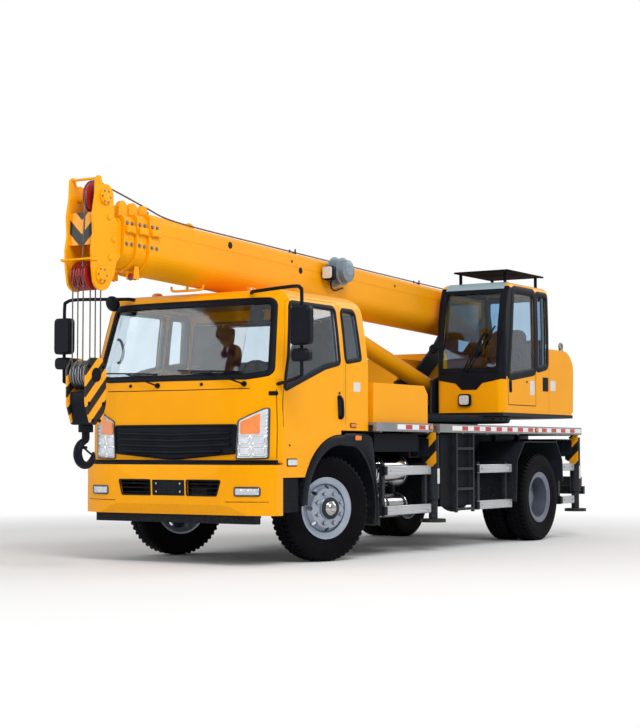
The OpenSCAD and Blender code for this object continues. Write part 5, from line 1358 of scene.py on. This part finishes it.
over = [(6720, rope_y, 468), (7000, rope_y, 520), (7300, rope_y, 572)]
over += [(top_x + 148 * math.cos(a), rope_y, top_z + 148 * math.sin(a)) for a in np.linspace(2.0, 0.0, 9)]
over += [(7544, rope_y, 300), (7548, rope_y, 0), (7546, rope_y, -200)]
piece("head_rope", [wire_rope(on_boom(over), 0.008, 200)], rope_steel, "boom_4")

# Hook block: striped steel cheeks bolted each side of three sheaves, a crosshead, and a forged hook with a
# spring latch. It hangs on six falls of the hoist rope.
fall_length, fall_reach = 880, 118.4
fall_x = pivot_x + low_x * along_boom[0] - low_z * along_boom[2]
fall_z = pivot_z + low_x * along_boom[2] + low_z * along_boom[0]


def in_block(points):
    """Millimetres from the middle of the hook block's sheave pin, carried to where it hangs under the
    head."""
    return from_axle(np.asarray(points, float) + np.array((fall_x, 0, fall_z - fall_length)))


falls = [wire_rope(np.linspace(in_block((x, y, fall_length)), in_block((x, y, 0)), 6), 0.0062, 130, lay=0.075)
         for x in (-fall_reach, fall_reach) for y in rope_lanes]
piece("hook_falls", falls, rope_steel, "hook", ("hook_block",))
block_wheels = [sheave_shell(in_block((0, y, 0)), 130) for y in rope_lanes]
piece("hook_sheaves", block_wheels, nut_steel, "hook")
cheek = softened([(-70, -440), (70, -440), (140, -260), (140, 70), (80, 150), (-80, 150), (-140, 70),
                  (-140, -260)],
                 30, 5)
cheek_plates = [plate(cheek, (0, y, 0), (1, 0, 0), (0, 0, 1), 20, 3, in_block) for y in (116, -96)]
piece("hook_cheeks", cheek_plates, striped, "hook")
crosshead = softened([(-66, -430), (66, -430), (110, -250), (110, -150), (-110, -150), (-110, -250)], 20)
core = [plate(crosshead, (0, 92, 0), (1, 0, 0), (0, 0, 1), 184, 6, in_block),
        plate(box_outline(140, 80, 10), (0, 96, -400), (1, 0, 0), (0, 0, 1), 192, 4, in_block)]
for s, _ in sides:
    core.append(turned([(62, 0), (62, 6), (50, 9), (48, 12), (4, 12)], (0, s * 116, 0), (0, s, 0), 28,
                       at=in_block))
    for x, z in ((-95, 70), (95, 70), (-95, -255), (95, -255), (-45, -405), (45, -405)):
        core += hex_bolt(in_block((x, s * 116, z)), (0, s, 0), 0.024, 0.012)
core.append(turned([(64, -506), (66, -500), (66, -446), (60, -440)], (0, 0, 0), (0, 0, 1), 32, at=in_block))
piece("hook_core", core, moulded_black, "hook")
turn = np.radians(np.linspace(88, -186, 46)[3:])
bowl = np.stack([106 * np.cos(turn), np.zeros_like(turn), -690 + 106 * np.sin(turn)], -1)
hook_path = np.vstack([[(0, 0, -500), (0, 0, -530), (0, 0, -560), (6, 0, -575), (30, 0, -586)], bowl])
bowl_thick = np.interp(np.linspace(0, 1, len(bowl)), [0, 0.35, 0.6, 0.85, 1], [38, 44, 43, 32, 12])
egg = circle(1, 20) * (0.82, 1.0) / 1000
forged = [skin(carried(in_block(hook_path), egg, (0, 1, 0), np.append([38, 38, 38, 37, 37], bowl_thick))),
          hose([(26, 0, -640), (-10, 0, -662), (-60, 0, -690), (-92, 0, -706)], 9, 20, (0, 1, 0),
               at=in_block),
          turned([(8, -34), (14, -32), (14, 32), (8, 34)], (26, 0, -640), (0, 1, 0), 16, at=in_block)]
piece("forged_hook", forged, moulded_black, "hook")

# Studio: a wide level floor in near-white, three large soft lamps, and a camera at the photograph's place.
# The floor glows plain white to the camera beyond the shadows, so that it joins the white world without an
# edge.
def pale_floor():
    """Floor material: near-white with a slight mottle, plain white to the camera where no shadow lies."""
    made, tree, bsdf = opened(bpy.data.materials.new("pale_floor"))
    place = located(tree)
    cloud = noise(tree, place, 0.4, 3.0)
    feed(tree, bsdf, {"Base Color": between(tree, cloud, (0.86, 0.86, 0.86, 1), (0.83, 0.83, 0.83, 1)),
                      "Roughness": 0.85, "Specular IOR Level": 0.15})
    flat = put(tree, "VectorMath", {0: place, 1: (1.0, 1.0, 0.0)}, operation="MULTIPLY").outputs[0]
    away = put(tree, "VectorMath", {0: flat}, operation="LENGTH").outputs["Value"]
    far = sums(tree, "MULTIPLY", ramp(tree, away, 6.0, 11.0), put(tree, "LightPath").outputs["Is Camera Ray"])
    mixed(tree, far, bsdf, put(tree, "Emission", {0: (1, 1, 1, 1), 1: 1.0}))
    return made


floor_half, floor_level, floor_lines = 30, -0.002, 41
lines = np.linspace(-floor_half, floor_half, floor_lines)
u, v = np.meshgrid(lines, lines, indexing="ij")
floor_points = np.stack([u, v, np.full_like(u, floor_level)], -1)
first = (np.arange(floor_lines - 1)[:, None] * floor_lines + np.arange(floor_lines - 1)).ravel()
floor_mesh = bpy.data.meshes.new("floor")
floor_mesh.from_pydata(floor_points.reshape(-1, 3).tolist(), [], np.stack(
    [first, first + floor_lines, first + floor_lines + 1, first + 1], -1).tolist())
floor = bpy.data.objects.new("floor", floor_mesh)
bpy.context.scene.collection.objects.link(floor)
floor_mesh.materials.append(pale_floor())

world = bpy.data.worlds.new("studio")
bpy.context.scene.world = world
world.use_nodes = True
tree = world.node_tree
seen = put(tree, "LightPath")
direct = sums(tree, "MAXIMUM", seen.outputs["Is Camera Ray"], seen.outputs["Is Transmission Ray"])
feed(tree, tree.nodes["Background"], {0: (1, 1, 1, 1), 1: ramp(tree, direct, 0.0, 1.0, 0.55, 1.0)})


def soft_lamp(name, place, aim, size, watts):
    """Square area lamp at place, turned so that it faces aim."""
    lamp = bpy.data.lights.new(name, "AREA")
    lamp.shape, lamp.size, lamp.energy = "SQUARE", size, watts
    held = bpy.data.objects.new(name, lamp)
    bpy.context.scene.collection.objects.link(held)
    held.location = place
    held.rotation_euler = (Vector(aim) - Vector(place)).to_track_quat("-Z", "Y").to_euler()


lit_middle = (0, 0, 1.5)
soft_lamp("key", (9, 10, 12), lit_middle, 7, 1500)
soft_lamp("fill", (12, -9, 6), lit_middle, 8, 420)
soft_lamp("back", (-12, 6, 9), lit_middle, 7, 520)

photo_focus, photo_height, sensor = 1650, 727, 36
lens = bpy.data.cameras.new("camera")
lens.sensor_width = sensor
lens.lens = photo_focus / photo_height * sensor
lens.clip_end = 200
camera = bpy.data.objects.new("camera", lens)
bpy.context.scene.collection.objects.link(camera)
camera.location = (front_axle + 13.6986, 9.5117, 1.078)
camera.rotation_euler = (math.radians(90 + 3.0), 0, math.radians(122.2))
bpy.context.scene.camera = camera
bpy.context.scene.view_settings.view_transform = "Standard"
